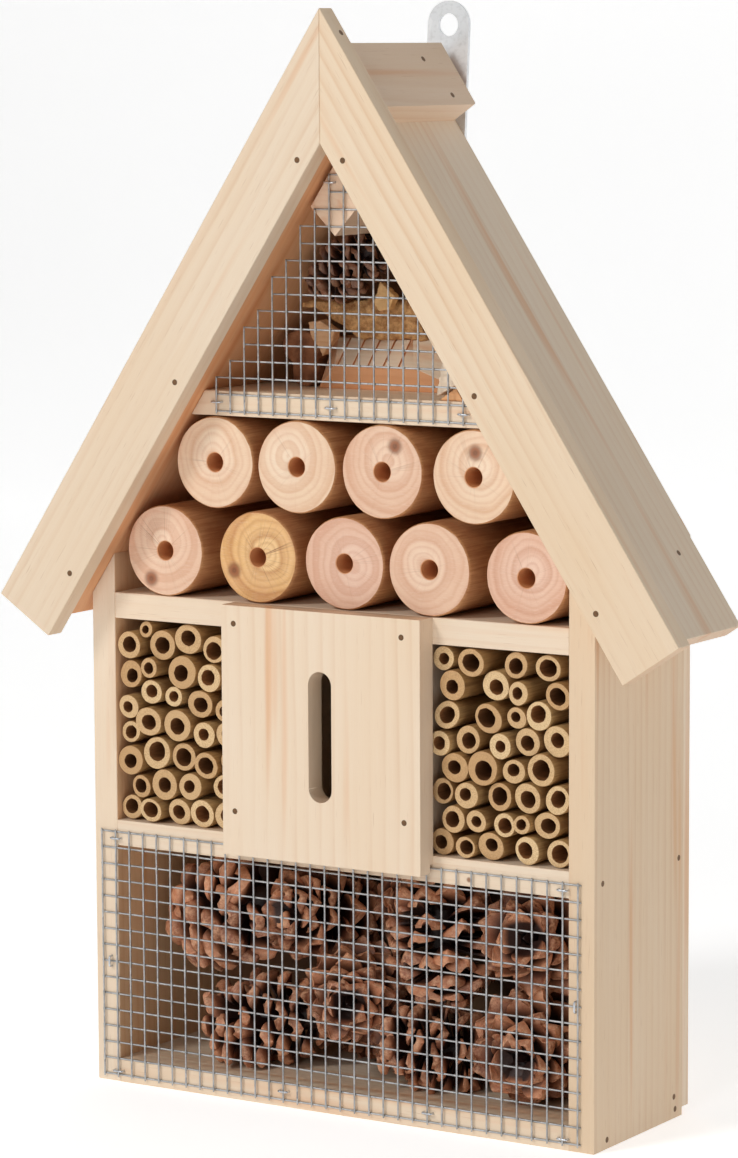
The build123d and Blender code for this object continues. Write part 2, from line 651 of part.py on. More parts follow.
def nestle(rows, x0, x1, z0, z1):
    """Packs rows of round stems into a compartment, then lets each one drop until it rests."""
    stems = []
    for r, row in enumerate(rows):
        spare = (x1 - x0 - sum(row)) / (len(row) + 1)
        x = x0 + spare
        if len(row) == 1:
            x = x0 + LONE_STEM_SHARE * (x1 - x0)
        for d in row:
            z = z0 + (r + 0.5) * (z1 - z0) / len(rows)
            stems.append([x + d / 2, z, d / 2, r])
            x += d + spare
    for _ in range(NESTLE_TURNS):
        for i, a in enumerate(stems):
            for b in stems[:i]:
                dx = a[0] - b[0]
                dz = a[1] - b[1]
                apart = hypot(dx, dz)
                push = (a[2] + b[2] + STEM_GAP - apart) / 2
                if push > 0:
                    a[0] += push * dx / apart
                    a[1] += push * dz / apart
                    b[0] -= push * dx / apart
                    b[1] -= push * dz / apart
        for a in stems:
            a[0] = min(max(a[0], x0 + a[2] + STEM_GAP), x1 - a[2] - STEM_GAP)
            a[1] = min(max(a[1], z0 + a[2] + STEM_GAP), z1 - a[2] - STEM_GAP)
    stems.sort(key=lambda stem: stem[1])
    rested = []
    for x, z, radius, r in stems:
        rest = z0 + radius + STEM_GAP
        for px, pz, p_radius, _ in rested:
            span = radius + p_radius + STEM_GAP
            if abs(x - px) < span and pz <= z:
                rest = max(rest, pz + sqrt(span * span - (x - px) ** 2))
        rested.append((x, rest, radius, r))
    return rested


divider_half = DIVIDER_T / 2
compartments = (
    ("left", LEFT_STEMS, -INNER_X, DIVIDER_X[0] - divider_half),
    ("right", RIGHT_STEMS, DIVIDER_X[1] + divider_half, INNER_X),
)
for hand, rows, x0, x1 in compartments:
    stems = nestle(rows, x0, x1, LOWER_SHELF_Z[1], MIDDLE_SHELF_Z[0])
    for bundle in range(STEM_BUNDLES):
        with BuildPart() as stem_bundle:
            for n, (x, z, radius, r) in enumerate(stems):
                if r // STEM_ROWS_PER_BUNDLE == bundle:
                    front = FRONT_Y + STEM_FRONT_STEP * (0.2 + (n * 5 + r * 2) % 6)
                    bore = radius * (0.5 + 0.035 * ((n * 3 + r) % 4))
                    with BuildSketch(facing(front + STEM_L)):
                        with Locations((x, z)):
                            Circle(radius)
                            Circle(bore, mode=Mode.SUBTRACT)
                    extrude(amount=STEM_L)
        stem_bundle.part.label = f"{hand}_stems_{bundle + 1}"
        export_step(stem_bundle.part, f"parts/{hand}_stems_{bundle + 1}.step")

# ---- pine cones ----------------------------------------------------------------------------
# Middle of the cone, the way its tip points, largest radius and length.
CONES = {
    "pine_cone_1": ((-68.5, -5.0, 63.5), (-0.93, 0.05, -0.3), 21.0, 48.0),
    "pine_cone_2": ((-46.0, -13.5, 26.2), (-0.85, -0.4, -0.1), 16.4, 46.0),
    "pine_cone_3": ((-27.2, -3.4, 68.7), (-0.3, -0.9, 0.15), 17.0, 46.0),
    "pine_cone_4": ((-4.2, -13.0, 41.6), (0.35, -0.9, 0.0), 17.4, 41.0),
    "pine_cone_5": ((33.0, -13.0, 65.0), (0.15, -0.2, -0.95), 19.0, 49.0),
    "pine_cone_6": ((29.0, -14.5, 25.4), (-0.8, -0.55, 0.1), 15.4, 42.0),
    "pine_cone_7": ((72.5, -11.0, 30.2), (0.1, -0.95, -0.1), 20.2, 44.0),
    "pine_cone_8": ((75.0, -9.0, 71.8), (0.1, -0.9, 0.15), 19.8, 46.0),
    "pine_cone_9": ((5.8, 12.6, 73.5), (0.3, -0.9, 0.2), 14.2, 33.0),
    "pine_cone_10": ((-14.0, 15.6, 23.8), (0.95, -0.3, 0.05), 13.8, 34.0),
    "gable_cone": ((-9.2, -12.0, 313.6), (-0.8, -0.1, -0.55), 10.4, 30.0),
}
CONE_TIERS = 8
CONE_CORE = 0.42
for name, (middle, tip, radius, length) in CONES.items():
    tip_dir = Vector(*tip).normalized()
    base = Vector(*middle) - tip_dir * (length / 2)
    side_dir = tip_dir.cross(Vector(0, 0.31, 0.95)).normalized()
    across = Plane(origin=base, x_dir=side_dir, z_dir=side_dir.cross(tip_dir))
    profile = [(0, 0)]
    for tier in range(CONE_TIERS):
        low = length * tier / CONE_TIERS
        high = length * (tier + 1) / CONE_TIERS
        share = (tier + 0.6) / CONE_TIERS
        girth = radius * sin(pi * (0.2 + 0.74 * share)) ** 0.8
        profile.append((girth * CONE_CORE, low))
        profile.append((girth, low + 0.55 * (high - low)))
        profile.append((girth * 0.94, low + 0.8 * (high - low)))
        profile.append((girth * CONE_CORE * 0.95, high - 0.02 * length))
    profile.append((0, length))
    with BuildPart() as cone:
        with BuildSketch(across):
            with BuildLine():
                Polyline(*profile, close=True)
            make_face()
        revolve(axis=Axis(base, tip_dir))
    cone.part.label = name
    export_step(cone.part, f"parts/{name}.step")

# ---- gable filling ---------------------------------------------------------------------------
SHELF_Z = UPPER_SHELF_Z[1]
FILL_BACK_Y = WALL_BACK_Y - 0.2

screw_reach = FILL_BACK_Y - (REAR_Y + HANGER_T - SCREW_L)

with BuildPart() as ridge_block:
    with BuildSketch(facing(FILL_BACK_Y)):
        with BuildLine():
            Polyline((-9.3, 338.2), (1.2, 327.6), (16.7, 344.4), (ROOF_X, 361.2), close=True)
        make_face()
    extrude(amount=FILL_BACK_Y - FRONT_Y)
    with BuildSketch(facing(FILL_BACK_Y)):
        with Locations(*screw_xz):
            Circle(SCREW_R + DRILL_PLAY)
    extrude(amount=screw_reach, mode=Mode.SUBTRACT)
    with BuildSketch(facing(FRONT_Y + STAPLE_LEG)):
        top_x, top_z = TOP_STAPLE_XZ
        with Locations((top_x - STAPLE_W / 2, top_z), (top_x + STAPLE_W / 2, top_z)):
            Circle(STAPLE_WIRE / 2 + DRILL_PLAY)
    extrude(amount=STAPLE_LEG, mode=Mode.SUBTRACT)
ridge_block.part.label = "ridge_block"
export_step(ridge_block.part, "parts/ridge_block.step")

# A sawn offcut: a low upright front, a steep upper face with saw kerfs, and both ends cut askew.
BLOCK_X = (-25.1, 27.6)
BLOCK_Y = (-6.6, 14.0)
BLOCK_FRONT_TOP = 278.3
BLOCK_TOP = 287.8
BLOCK_TOP_Y = 2.4
KERF_X = -17.0
KERF_PITCH = 6.65
KERF_COUNT = 5
KERF_W = 0.8
KERF_D = 1.3
CUT_SIZE = 80.0
face_rise = (BLOCK_TOP - BLOCK_FRONT_TOP) / (BLOCK_TOP_Y - BLOCK_Y[0])
with BuildPart() as sawn_block:
    with BuildSketch(Plane.YZ.offset(BLOCK_X[0])):
        with BuildLine():
            Polyline(
                (BLOCK_Y[0], SHELF_Z),
                (BLOCK_Y[1], SHELF_Z),
                (BLOCK_Y[1], BLOCK_TOP),
                (BLOCK_TOP_Y, BLOCK_TOP),
                (BLOCK_Y[0], BLOCK_FRONT_TOP),
                close=True,
            )
        make_face()
    extrude(amount=BLOCK_X[1] - BLOCK_X[0])
    left_cut = Plane(origin=(BLOCK_X[0], BLOCK_Y[0], SHELF_Z), z_dir=(-1.0, -1.25, 0.786))
    right_cut = Plane(origin=(16.5, BLOCK_Y[0], BLOCK_FRONT_TOP), z_dir=(0.34, -0.84, 0.99))
    for cut in (left_cut, right_cut):
        with BuildSketch(cut):
            Rectangle(CUT_SIZE, CUT_SIZE)
        extrude(amount=CUT_SIZE / 2, mode=Mode.SUBTRACT)
    for i in range(KERF_COUNT):
        near_y = BLOCK_Y[0] - KERF_D
        near_z = BLOCK_FRONT_TOP - KERF_D - KERF_D * face_rise
        far_y = BLOCK_TOP_Y + KERF_D / 2
        far_z = BLOCK_TOP - KERF_D / 2
        clear_z = BLOCK_TOP + KERF_D
        with BuildSketch(Plane.YZ.offset(KERF_X + i * KERF_PITCH)):
            with BuildLine():
                Polyline((near_y, near_z), (far_y, far_z), (far_y, clear_z), (near_y, clear_z), close=True)
            make_face()
        extrude(amount=KERF_W, mode=Mode.SUBTRACT)
sawn_block.part.label = "sawn_block"
export_step(sawn_block.part, "parts/sawn_block.step")

# A slab of bark lies across the block, its left end nearer the mesh.
BARK_T = 7.0
BARK_TURN = radians(14)
with BuildPart() as bark_piece:
    bark_face = Plane(
        origin=(-10.0, -3.0, 0.0),
        x_dir=(cos(BARK_TURN), sin(BARK_TURN), 0),
        z_dir=(sin(BARK_TURN), -cos(BARK_TURN), 0),
    )
    with BuildSketch(bark_face):
        with BuildLine():
            Polyline(
                (-22.4, 300.2),
                (-17.8, 302.2),
                (-7.3, 301.7),
                (6.3, 303.6),
                (21.2, 302.8),
                (25.2, 292.3),
                (27.1, 288.0),
                (1.7, 288.0),
                (-6.6, 292.1),
                (-13.3, 297.4),
                close=True,
            )
        make_face()
    extrude(amount=-BARK_T)
bark_piece.part.label = "bark_piece"
export_step(bark_piece.part, "parts/bark_piece.step")

# Outlines as (x, z), then the front and back depth.
CHUNK_XZ = [(-26.2, 294.2), (-21.1, 295.1), (-14.8, 291.4), (-15.3, 288.0), (-20.0, 282.0), (-24.9, 289.0)]
SPLINTER_XZ = [(1.0, 309.6), (7.2, 304.6), (5.1, 299.4), (0.9, 298.6), (-2.0, 301.8)]
PALE_XZ = [(42.6, 270.6), (51.4, 275.2), (55.0, 280.0), (52.0, 287.0), (45.4, 284.6)]
SMALL_XZ = [(44.2, SHELF_Z), (54.4, SHELF_Z), (51.5, 274.2)]
offcuts = {
    "wood_chunk": (CHUNK_XZ, -12.0, -7.2),
    "splinter": (SPLINTER_XZ, -5.0, -1.4),
    "pale_offcut": (PALE_XZ, -33.5, -18.0),
    "small_offcut": (SMALL_XZ, -34.5, -20.0),
}
for name, (outline, y0, y1) in offcuts.items():
    with BuildPart() as offcut:
        with BuildSketch(facing(y1)):
            with BuildLine():
                Polyline(*outline, close=True)
            make_face()
        extrude(amount=y1 - y0)
    offcut.part.label = name
    export_step(offcut.part, f"parts/{name}.step")

# A short crooked branch: a broad cut end above a narrower foot.
BRANCH_Y = (-6.0, 16.0)
with BuildPart() as branch_slice:
    with BuildSketch(facing(BRANCH_Y[1])):
        with Locations((-33.6, 284.3)):
            Ellipse(8.2, 6.5)
        with Locations((-32.4, SHELF_Z + 5.6)):
            Circle(5.6)
        with Locations((-33.0, 279.0)):
            Rectangle(9.0, 8.0)
    extrude(amount=BRANCH_Y[1] - BRANCH_Y[0])
branch_slice.part.label = "branch_slice"
export_step(branch_slice.part, "parts/branch_slice.step")
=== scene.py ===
import math
import random

import bmesh
import bpy
import numpy as np
from mathutils import Matrix, Vector, noise


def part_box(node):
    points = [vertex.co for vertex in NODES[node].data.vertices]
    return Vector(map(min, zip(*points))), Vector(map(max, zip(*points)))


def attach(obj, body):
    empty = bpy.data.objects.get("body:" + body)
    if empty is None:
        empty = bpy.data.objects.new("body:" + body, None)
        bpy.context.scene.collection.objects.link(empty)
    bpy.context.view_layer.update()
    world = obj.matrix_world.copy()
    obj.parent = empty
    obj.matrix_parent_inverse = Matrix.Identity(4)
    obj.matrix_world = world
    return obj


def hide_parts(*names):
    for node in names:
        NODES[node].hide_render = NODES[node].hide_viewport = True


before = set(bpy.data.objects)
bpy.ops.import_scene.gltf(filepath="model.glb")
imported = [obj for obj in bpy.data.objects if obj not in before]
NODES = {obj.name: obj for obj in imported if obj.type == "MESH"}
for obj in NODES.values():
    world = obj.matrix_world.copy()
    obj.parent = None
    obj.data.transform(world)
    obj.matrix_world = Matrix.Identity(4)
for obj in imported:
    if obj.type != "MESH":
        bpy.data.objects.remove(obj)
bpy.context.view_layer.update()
MM = 0.001
SLOPE = math.radians(56.4)
MESH_CELL = 6.35 * MM
WIRE_STEPS_PER_CELL = 6
LOG_BORE_R = 3.5 * MM
LOG_BORE_DEPTH = 52 * MM
STEM_BORE_DEPTH = 40 * MM
SCALES_PER_CONE = 66
CONE_FULLNESS = 1.24
GOLDEN_ANGLE = 137.508

# ---- node graphs -----------------------------------------------------------------


class Graph:
    """A material's node tree with short calls for the nodes used here."""

    def __init__(self, name):
        self.material = bpy.data.materials.new(name)
        self.material.use_nodes = True
        self.tree = self.material.node_tree
        self.tree.nodes.clear()
        self.surface = self.add("ShaderNodeBsdfPrincipled")
        out = self.add("ShaderNodeOutputMaterial")
        self.tree.links.new(self.surface.outputs[0], out.inputs[0])

    def add(self, kind, **settings):
        node = self.tree.nodes.new(kind)
        for key, value in settings.items():
            setattr(node, key, value)
        return node

    def put(self, socket, value):
        if isinstance(value, bpy.types.NodeSocket):
            self.tree.links.new(value, socket)
        elif isinstance(value, tuple) and len(value) == 3 and socket.type == "RGBA":
            socket.default_value = (*value, 1.0)
        else:
            socket.default_value = value

    def math(self, operation, a, b=None, c=None, clamp=False):
        node = self.add("ShaderNodeMath", operation=operation, use_clamp=clamp)
        for i, value in enumerate((a, b, c)):
            if value is not None:
                self.put(node.inputs[i], value)
        return node.outputs[0]

    def vector(self, operation, a, b=None, scale=None):
        node = self.add("ShaderNodeVectorMath", operation=operation)
        self.put(node.inputs[0], a)
        if b is not None:
            self.put(node.inputs[1], b)
        if scale is not None:
            self.put(node.inputs["Scale"], scale)
        return node.outputs["Value"] if operation in ("LENGTH", "DOT_PRODUCT") else node.outputs[0]

    def object_mm(self, rotation=(0, 0, 0), offset=(0, 0, 0)):
        """Object coordinates in millimetres, turned so that a chosen direction becomes X."""
        coords = self.add("ShaderNodeTexCoord").outputs["Object"]
        mapping = self.add("ShaderNodeMapping")
        self.put(mapping.inputs["Vector"], coords)
        mapping.inputs["Rotation"].default_value = rotation
        mapping.inputs["Location"].default_value = offset
        mapping.inputs["Scale"].default_value = (1000, 1000, 1000)
        return mapping.outputs[0]

    def noise(self, vector, stretch=(1, 1, 1), detail=3.0, rough=0.55, dims="3D", w=0.0):
        scaled = self.vector("MULTIPLY", vector, stretch)
        node = self.add("ShaderNodeTexNoise", noise_dimensions=dims)
        self.put(node.inputs["Vector"], scaled)
        node.inputs["Scale"].default_value = 1.0
        node.inputs["Detail"].default_value = detail
        node.inputs["Roughness"].default_value = rough
        if dims == "4D":
            self.put(node.inputs["W"], w)
        return node.outputs["Fac"]

    def span(self, value, low, high, to_low=0.0, to_high=1.0, smooth=False):
        node = self.add("ShaderNodeMapRange", interpolation_type="SMOOTHSTEP" if smooth else "LINEAR")
        self.put(node.inputs["Value"], value)
        node.inputs["From Min"].default_value = low
        node.inputs["From Max"].default_value = high
        node.inputs["To Min"].default_value = to_low
        node.inputs["To Max"].default_value = to_high
        return node.outputs[0]

    def ramp(self, value, *stops):
        node = self.add("ShaderNodeValToRGB")
        self.put(node.inputs[0], value)
        elements = node.color_ramp.elements
        while len(elements) < len(stops):
            elements.new(0.5)
        for element, (place, colour) in zip(elements, stops):
            element.position = place
            element.color = (*colour, 1.0) if isinstance(colour, tuple) else (colour, colour, colour, 1.0)
        return node.outputs[0]

    def mix(self, share, a, b, blend="MIX"):
        node = self.add("ShaderNodeMix", data_type="RGBA", blend_type=blend)
        self.put(node.inputs[0], share)
        self.put(node.inputs[6], a)
        self.put(node.inputs[7], b)
        return node.outputs[2]

    def attribute(self, name):
        return self.add("ShaderNodeAttribute", attribute_name=name).outputs["Fac"]

    def bump(self, *layers):
        """Stacks bumps given as (height, distance in mm, strength)."""
        normal = None
        for height, distance, strength in layers:
            node = self.add("ShaderNodeBump")
            self.put(node.inputs["Height"], height)
            node.inputs["Distance"].default_value = distance * MM
            node.inputs["Strength"].default_value = strength
            if normal is not None:
                self.put(node.inputs["Normal"], normal)
            normal = node.outputs[0]
        self.put(self.surface.inputs["Normal"], normal)

    def finish(self, colour, rough, metallic=0.0, specular=0.35):
        self.put(self.surface.inputs["Base Color"], colour)
        self.put(self.surface.inputs["Roughness"], rough)
        self.surface.inputs["Metallic"].default_value = metallic
        self.surface.inputs["Specular IOR Level"].default_value = specular
        return self.material


# ---- materials -----------------------------------------------------------------------


def srgb(r, g, b):
    """Linear colour from 0-255 display values."""
    return tuple(((v / 255 + 0.055) / 1.055) ** 2.4 if v > 10 else v / 255 / 12.92 for v in (r, g, b))


PINE_PALE = srgb(236, 218, 196)
PINE_WARM = srgb(228, 196, 158)
PINE_LATE = srgb(208, 160, 116)
PINE_STREAK = srgb(222, 164, 116)


def pine(name, turn, pith, spacing, seed, warm=0.35, late=0.6, tint=(1.0, 1.0, 1.0), knots=(), cut=0.38,
         untinted_facing=None, painted_shade_facing=None):
    """Sawn softwood: growth rings round a pith line that runs along the turned X axis.

    cut darkens the end grain. Faces turned to the keep-plain direction miss the tint. If a shade direction is
    given, only faces turned to it take the tint: painted shade on inner faces that lie in shadow.
    """
    g = Graph(name)
    place = g.object_mm(rotation=turn, offset=(seed * 37.0, 0, 0))
    wobble = g.noise(place, (0.006, 0.03, 0.03), detail=1.5)
    ripple = g.noise(place, (0.012, 0.25, 0.25), detail=2.0)
    flat = g.vector("MULTIPLY", g.vector("SUBTRACT", place, (0, pith[0], pith[1])), (0, 1, 1))
    radius = g.vector("LENGTH", flat)
    radius = g.math("ADD", radius, g.math("MULTIPLY", g.math("SUBTRACT", wobble, 0.5), 7.0))
    radius = g.math("ADD", radius, g.math("MULTIPLY", g.math("SUBTRACT", ripple, 0.5), 0.9))
    for knot_x, knot_y, knot_z, size in knots:
        away = g.vector("LENGTH", g.vector("SUBTRACT", place, (knot_x + seed * 37.0, knot_y, knot_z)))
        radius = g.math("ADD", radius, g.span(away, 0.0, size * 5, size * 2.2, 0.0, smooth=True))
    year = g.math("FLOOR", g.math("DIVIDE", radius, spacing))
    ring = g.math("FRACT", g.math("DIVIDE", radius, spacing))
    dark = g.ramp(ring, (0.0, 0.15), (0.12, 0.0), (0.45, 0.08), (0.75, 0.45), (0.9, 0.85), (1.0, 0.4))
    scatter = g.math("MULTIPLY", g.math("SINE", g.math("MULTIPLY", year, 12.99)), 43.75)
    strength = g.span(g.math("FRACT", scatter), -1.0, 1.0, late * 0.25, late)
    dark = g.math("MULTIPLY", dark, strength)
    fade = g.noise(place, (0.008, 0.05, 0.05), detail=2.0, rough=0.6)
    dark = g.math("MULTIPLY", dark, g.span(fade, 0.38, 0.66, 0.12, 0.85))
    fibre = g.noise(place, (0.05, 2.4, 2.4), detail=4.0, rough=0.7)
    fine = g.noise(place, (0.16, 7.0, 7.0), detail=2.0, rough=0.6)
    patch = g.noise(place, (0.006, 0.022, 0.022), detail=2.0)
    body = g.mix(g.span(patch, 0.35, 0.68, 0.0, warm), PINE_PALE, PINE_WARM)
    streak = g.span(g.noise(place, (0.004, 0.10, 0.10), detail=2.5), 0.58, 0.74, 0.0, 0.6, smooth=True)
    body = g.mix(streak, body, PINE_STREAK)
    colour = g.mix(dark, body, PINE_LATE)
    colour = g.mix(g.span(fibre, 0.35, 0.75, 0.0, 0.22), colour, PINE_WARM)
    canal = g.span(g.noise(place, (0.09, 3.6, 3.6), detail=1.0), 0.70, 0.76, 0.0, 0.35)
    colour = g.mix(canal, colour, srgb(176, 128, 86))
    # Cut ends drink more light than long grain.
    normal = g.add("ShaderNodeTexCoord").outputs["Normal"]
    turned = g.add("ShaderNodeMapping", vector_type="NORMAL")
    g.put(turned.inputs["Vector"], normal)
    turned.inputs["Rotation"].default_value = turn
    end = g.math("ABSOLUTE", g.vector("DOT_PRODUCT", turned.outputs[0], (1, 0, 0)))
    end = g.span(end, 0.6, 0.95, 0.0, cut)
    colour = g.mix(end, colour, srgb(196, 150, 108), "MULTIPLY")
    for knot_x, knot_y, knot_z, size in knots:
        away = g.vector("LENGTH", g.vector("SUBTRACT", place, (knot_x + seed * 37.0, knot_y, knot_z)))
        eye = g.span(away, size * 0.5, size * 1.5, 0.85, 0.0, smooth=True)
        colour = g.mix(eye, colour, srgb(140, 88, 52))
    # Faces turned to the keep-plain direction keep the plain colour; all others take the tint.
    if untinted_facing:
        facing = g.span(g.vector("DOT_PRODUCT", normal, untinted_facing), 0.75, 0.95, 1.0, 0.0)
        colour = g.mix(facing, colour, g.mix(1.0, colour, tint, "MULTIPLY"))
    # Painted shade: only faces turned to the shade direction take the tint, darkening inner faces that lie in
    # shadow.
    elif painted_shade_facing:
        facing = g.span(g.vector("DOT_PRODUCT", normal, painted_shade_facing), 0.75, 0.95, 0.0, 1.0)
        colour = g.mix(facing, colour, g.mix(1.0, colour, tint, "MULTIPLY"))
    elif tint != (1.0, 1.0, 1.0):
        colour = g.mix(1.0, colour, tint, "MULTIPLY")
    g.bump((dark, 0.10, 0.35), (fibre, 0.12, 0.35), (fine, 0.05, 0.3))
    return g.finish(colour, g.span(fibre, 0.3, 0.75, 0.48, 0.7))


def log_wood(name, core, edge, ring_tone, crack=0.35, knot=None):
    """A peeled log along Y: ringed sawn ends with rays and drying cracks, fibrous sides."""
    g = Graph(name)
    place = g.object_mm()
    info = g.add("ShaderNodeObjectInfo")
    seed = g.math("MULTIPLY", info.outputs["Random"], 60.0)
    drift = g.noise(place, (0.05, 0.01, 0.05), detail=2.0, dims="4D", w=seed)
    pith = g.add("ShaderNodeCombineXYZ")
    g.put(pith.inputs["X"], g.math("MULTIPLY", g.math("SINE", seed), 4.0))
    g.put(pith.inputs["Z"], g.math("MULTIPLY", g.math("COSINE", g.math("MULTIPLY", seed, 1.7)), 4.0))
    radius = g.vector("LENGTH", g.vector("SUBTRACT", g.vector("MULTIPLY", place, (1, 0, 1)), pith.outputs[0]))
    radius = g.math("ADD", radius, g.math("MULTIPLY", g.math("SUBTRACT", drift, 0.5), 7.0))
    ring = g.math("FRACT", g.math("DIVIDE", radius, 2.7))
    band = g.math("SINE", g.math("ADD", g.math("MULTIPLY", radius, 0.75), seed))
    dark = g.ramp(ring, (0.0, 0.35), (0.2, 0.0), (0.55, 0.15), (0.85, 0.8), (1.0, 0.6))
    x_part = g.add("ShaderNodeSeparateXYZ")
    g.put(x_part.inputs[0], place)
    angle = g.math("ARCTAN2", x_part.outputs["Z"], x_part.outputs["X"])
    around = g.add("ShaderNodeCombineXYZ")
    g.put(around.inputs["X"], g.math("MULTIPLY", g.math("SINE", angle), 9.0))
    g.put(around.inputs["Y"], g.math("MULTIPLY", g.math("COSINE", angle), 9.0))
    rays = g.noise(around.outputs[0], (1.5, 1.5, 1.5), detail=3.0, rough=0.7, dims="4D", w=seed)
    saw = g.noise(place, (0.35, 1.0, 2.8), detail=3.0, rough=0.7, dims="4D", w=seed)
    blotch = g.noise(place, (0.07, 0.05, 0.07), detail=3.0, dims="4D", w=seed)
    face = g.mix(g.span(radius, 3.0, 17.0, 0.0, 1.0, smooth=True), core, edge)
    face = g.mix(g.math("MULTIPLY", dark, 0.40), face, ring_tone)
    face = g.mix(g.span(band, 0.1, 1.0, 0.0, 0.36, smooth=True), face, ring_tone)
    face = g.mix(g.span(rays, 0.55, 0.8, 0.0, 0.18), face, ring_tone)
    face = g.mix(g.span(blotch, 0.45, 0.75, 0.0, 0.30), face, srgb(216, 160, 130))
    face = g.mix(g.span(saw, 0.5, 0.8, 0.0, 0.35), face, srgb(246, 226, 206))
    split_noise = g.noise(around.outputs[0], (0.5, 0.5, 0.5), detail=1.0, dims="4D", w=seed)
    split = g.math("ABSOLUTE", g.math("SUBTRACT", split_noise, 0.5))
    split = g.math("MULTIPLY", g.span(split, 0.0, 0.014, 1.0, 0.0), g.span(radius, 5.0, 13.0, 1.0, 0.15))
    face = g.mix(g.math("MULTIPLY", split, crack), face, srgb(140, 88, 60))
    if knot:
        away = g.vector("LENGTH", g.vector("MULTIPLY", g.vector("SUBTRACT", place, knot), (1, 0, 1)))
        knot_ring = g.math("MULTIPLY", g.math("ADD", g.math("SINE", g.math("MULTIPLY", away, 3.2)), 1.0), 0.3)
        eye = g.mix(knot_ring, srgb(150, 88, 56), srgb(96, 54, 34))
        face = g.mix(g.span(away, 1.2, 4.2, 0.9, 0.0, smooth=True), face, eye)
    strands = g.noise(place, (1.3, 0.05, 1.3), detail=4.0, rough=0.7, dims="4D", w=seed)
    side = g.mix(g.span(strands, 0.3, 0.7), srgb(178, 118, 74), srgb(218, 166, 116))
    side = g.mix(g.span(blotch, 0.45, 0.7, 0.0, 0.5), side, srgb(164, 100, 62))
    normal = g.add("ShaderNodeTexCoord").outputs["Normal"]
    sawn = g.math("ABSOLUTE", g.vector("DOT_PRODUCT", normal, (0, 1, 0)))
    sawn = g.span(sawn, 0.55, 0.8, 0.0, 1.0)
    depth = g.attribute("bore")
    colour = g.mix(sawn, side, face)
    colour = g.mix(depth, colour, srgb(216, 152, 102))
    rough_height = g.mix(sawn, strands, saw)
    g.bump((rough_height, 0.22, 0.5), (g.math("MULTIPLY", dark, sawn), 0.10, 0.35))
    return g.finish(colour, g.span(saw, 0.3, 0.8, 0.62, 0.82))


def stem_material():
    """Dry reed and bamboo: pale fibrous cut rims, tan skins, brown bores."""
    g = Graph("dry_stems")
    place = g.object_mm()
    tone = g.attribute("tone")
    inside = g.attribute("inside")
    strands = g.noise(place, (2.2, 0.05, 2.2), detail=4.0, rough=0.7)
    pits = g.noise(place, (3.4, 0.6, 3.4), detail=2.0, rough=0.7)
    blotch = g.noise(place, (0.25, 0.03, 0.25), detail=3.0)
    skin = g.mix(tone, srgb(170, 130, 80), srgb(208, 172, 118))
    skin = g.mix(g.span(strands, 0.35, 0.7, 0.0, 0.65), skin, srgb(140, 98, 56))
    skin = g.mix(g.span(blotch, 0.46, 0.7, 0.0, 0.7), skin, srgb(112, 74, 42))
    rim = g.mix(tone, srgb(200, 160, 112), srgb(234, 204, 156))
    rim = g.mix(g.span(pits, 0.42, 0.7, 0.0, 0.7), rim, srgb(158, 112, 70))
    bore = g.mix(tone, srgb(104, 66, 38), srgb(164, 112, 68))
    bore = g.mix(g.span(strands, 0.35, 0.7, 0.0, 0.5), bore, srgb(86, 54, 30))
    normal = g.add("ShaderNodeTexCoord").outputs["Normal"]
    cut = g.span(g.math("ABSOLUTE", g.vector("DOT_PRODUCT", normal, (0, 1, 0))), 0.6, 0.85, 0.0, 1.0)
    colour = g.mix(inside, skin, bore)
    colour = g.mix(cut, colour, rim)
    g.bump((strands, 0.12, 0.5), (pits, 0.08, 0.35))
    return g.finish(colour, g.span(strands, 0.3, 0.75, 0.45, 0.68))


def cone_material(name, shade):
    """Open pine cone scales: red-brown plates, darker roots, paler worn tips; shade dims them all."""
    g = Graph(name)
    place = g.object_mm()
    tip = g.attribute("tip")
    tone = g.attribute("tone")
    grain = g.noise(place, (0.55, 0.55, 0.55), detail=5.0, rough=0.7)
    speck = g.noise(place, (2.4, 2.4, 2.4), detail=3.0, rough=0.7)
    # The scale roots are the cone's own darker base, deepened to near black as painted shade in the gaps
    # between scales.
    root = g.mix(tone, srgb(30, 15, 10), srgb(58, 30, 20))
    plate = g.mix(tone, srgb(140, 78, 52), srgb(218, 144, 104))
    colour = g.mix(g.span(tip, 0.5, 0.92, smooth=True), root, plate)
    worn = g.math("MULTIPLY", g.span(tip, 0.74, 0.98), g.span(grain, 0.40, 0.62))
    colour = g.mix(g.math("MULTIPLY", worn, 0.85), colour, srgb(238, 186, 148))
    colour = g.mix(g.span(speck, 0.5, 0.75, 0.0, 0.45), colour, srgb(62, 32, 22))
    # Painted shade: shade mixes the whole cone towards a near-black brown, for a cone standing in shadow.
    colour = g.mix(shade, colour, srgb(40, 22, 15))
    g.bump((grain, 0.5, 0.5), (speck, 0.15, 0.4))
    return g.finish(colour, g.span(grain, 0.3, 0.7, 0.34, 0.6), specular=0.5)


def bark_material(name, dark, light, ridge=(0.35, 0.08, 0.35), moss=0.0):
    """Fibrous bark or a weathered cut, with an optional dusting of green."""
    g = Graph(name)
    place = g.object_mm()
    plates = g.noise(place, ridge, detail=5.0, rough=0.65)
    crumbs = g.noise(place, (1.6, 1.6, 1.6), detail=4.0, rough=0.7)
    colour = g.mix(g.span(plates, 0.32, 0.68), dark, light)
    colour = g.mix(g.span(crumbs, 0.5, 0.75, 0.0, 0.45), colour, srgb(96, 62, 40))
    green = g.noise(place, (0.25, 0.25, 0.25), detail=3.0)
    colour = g.mix(g.span(green, 0.52, 0.7, 0.0, moss), colour, srgb(168, 166, 104))
    g.bump((plates, 0.9, 0.6), (crumbs, 0.3, 0.5))
    return g.finish(colour, g.span(crumbs, 0.3, 0.75, 0.62, 0.9))


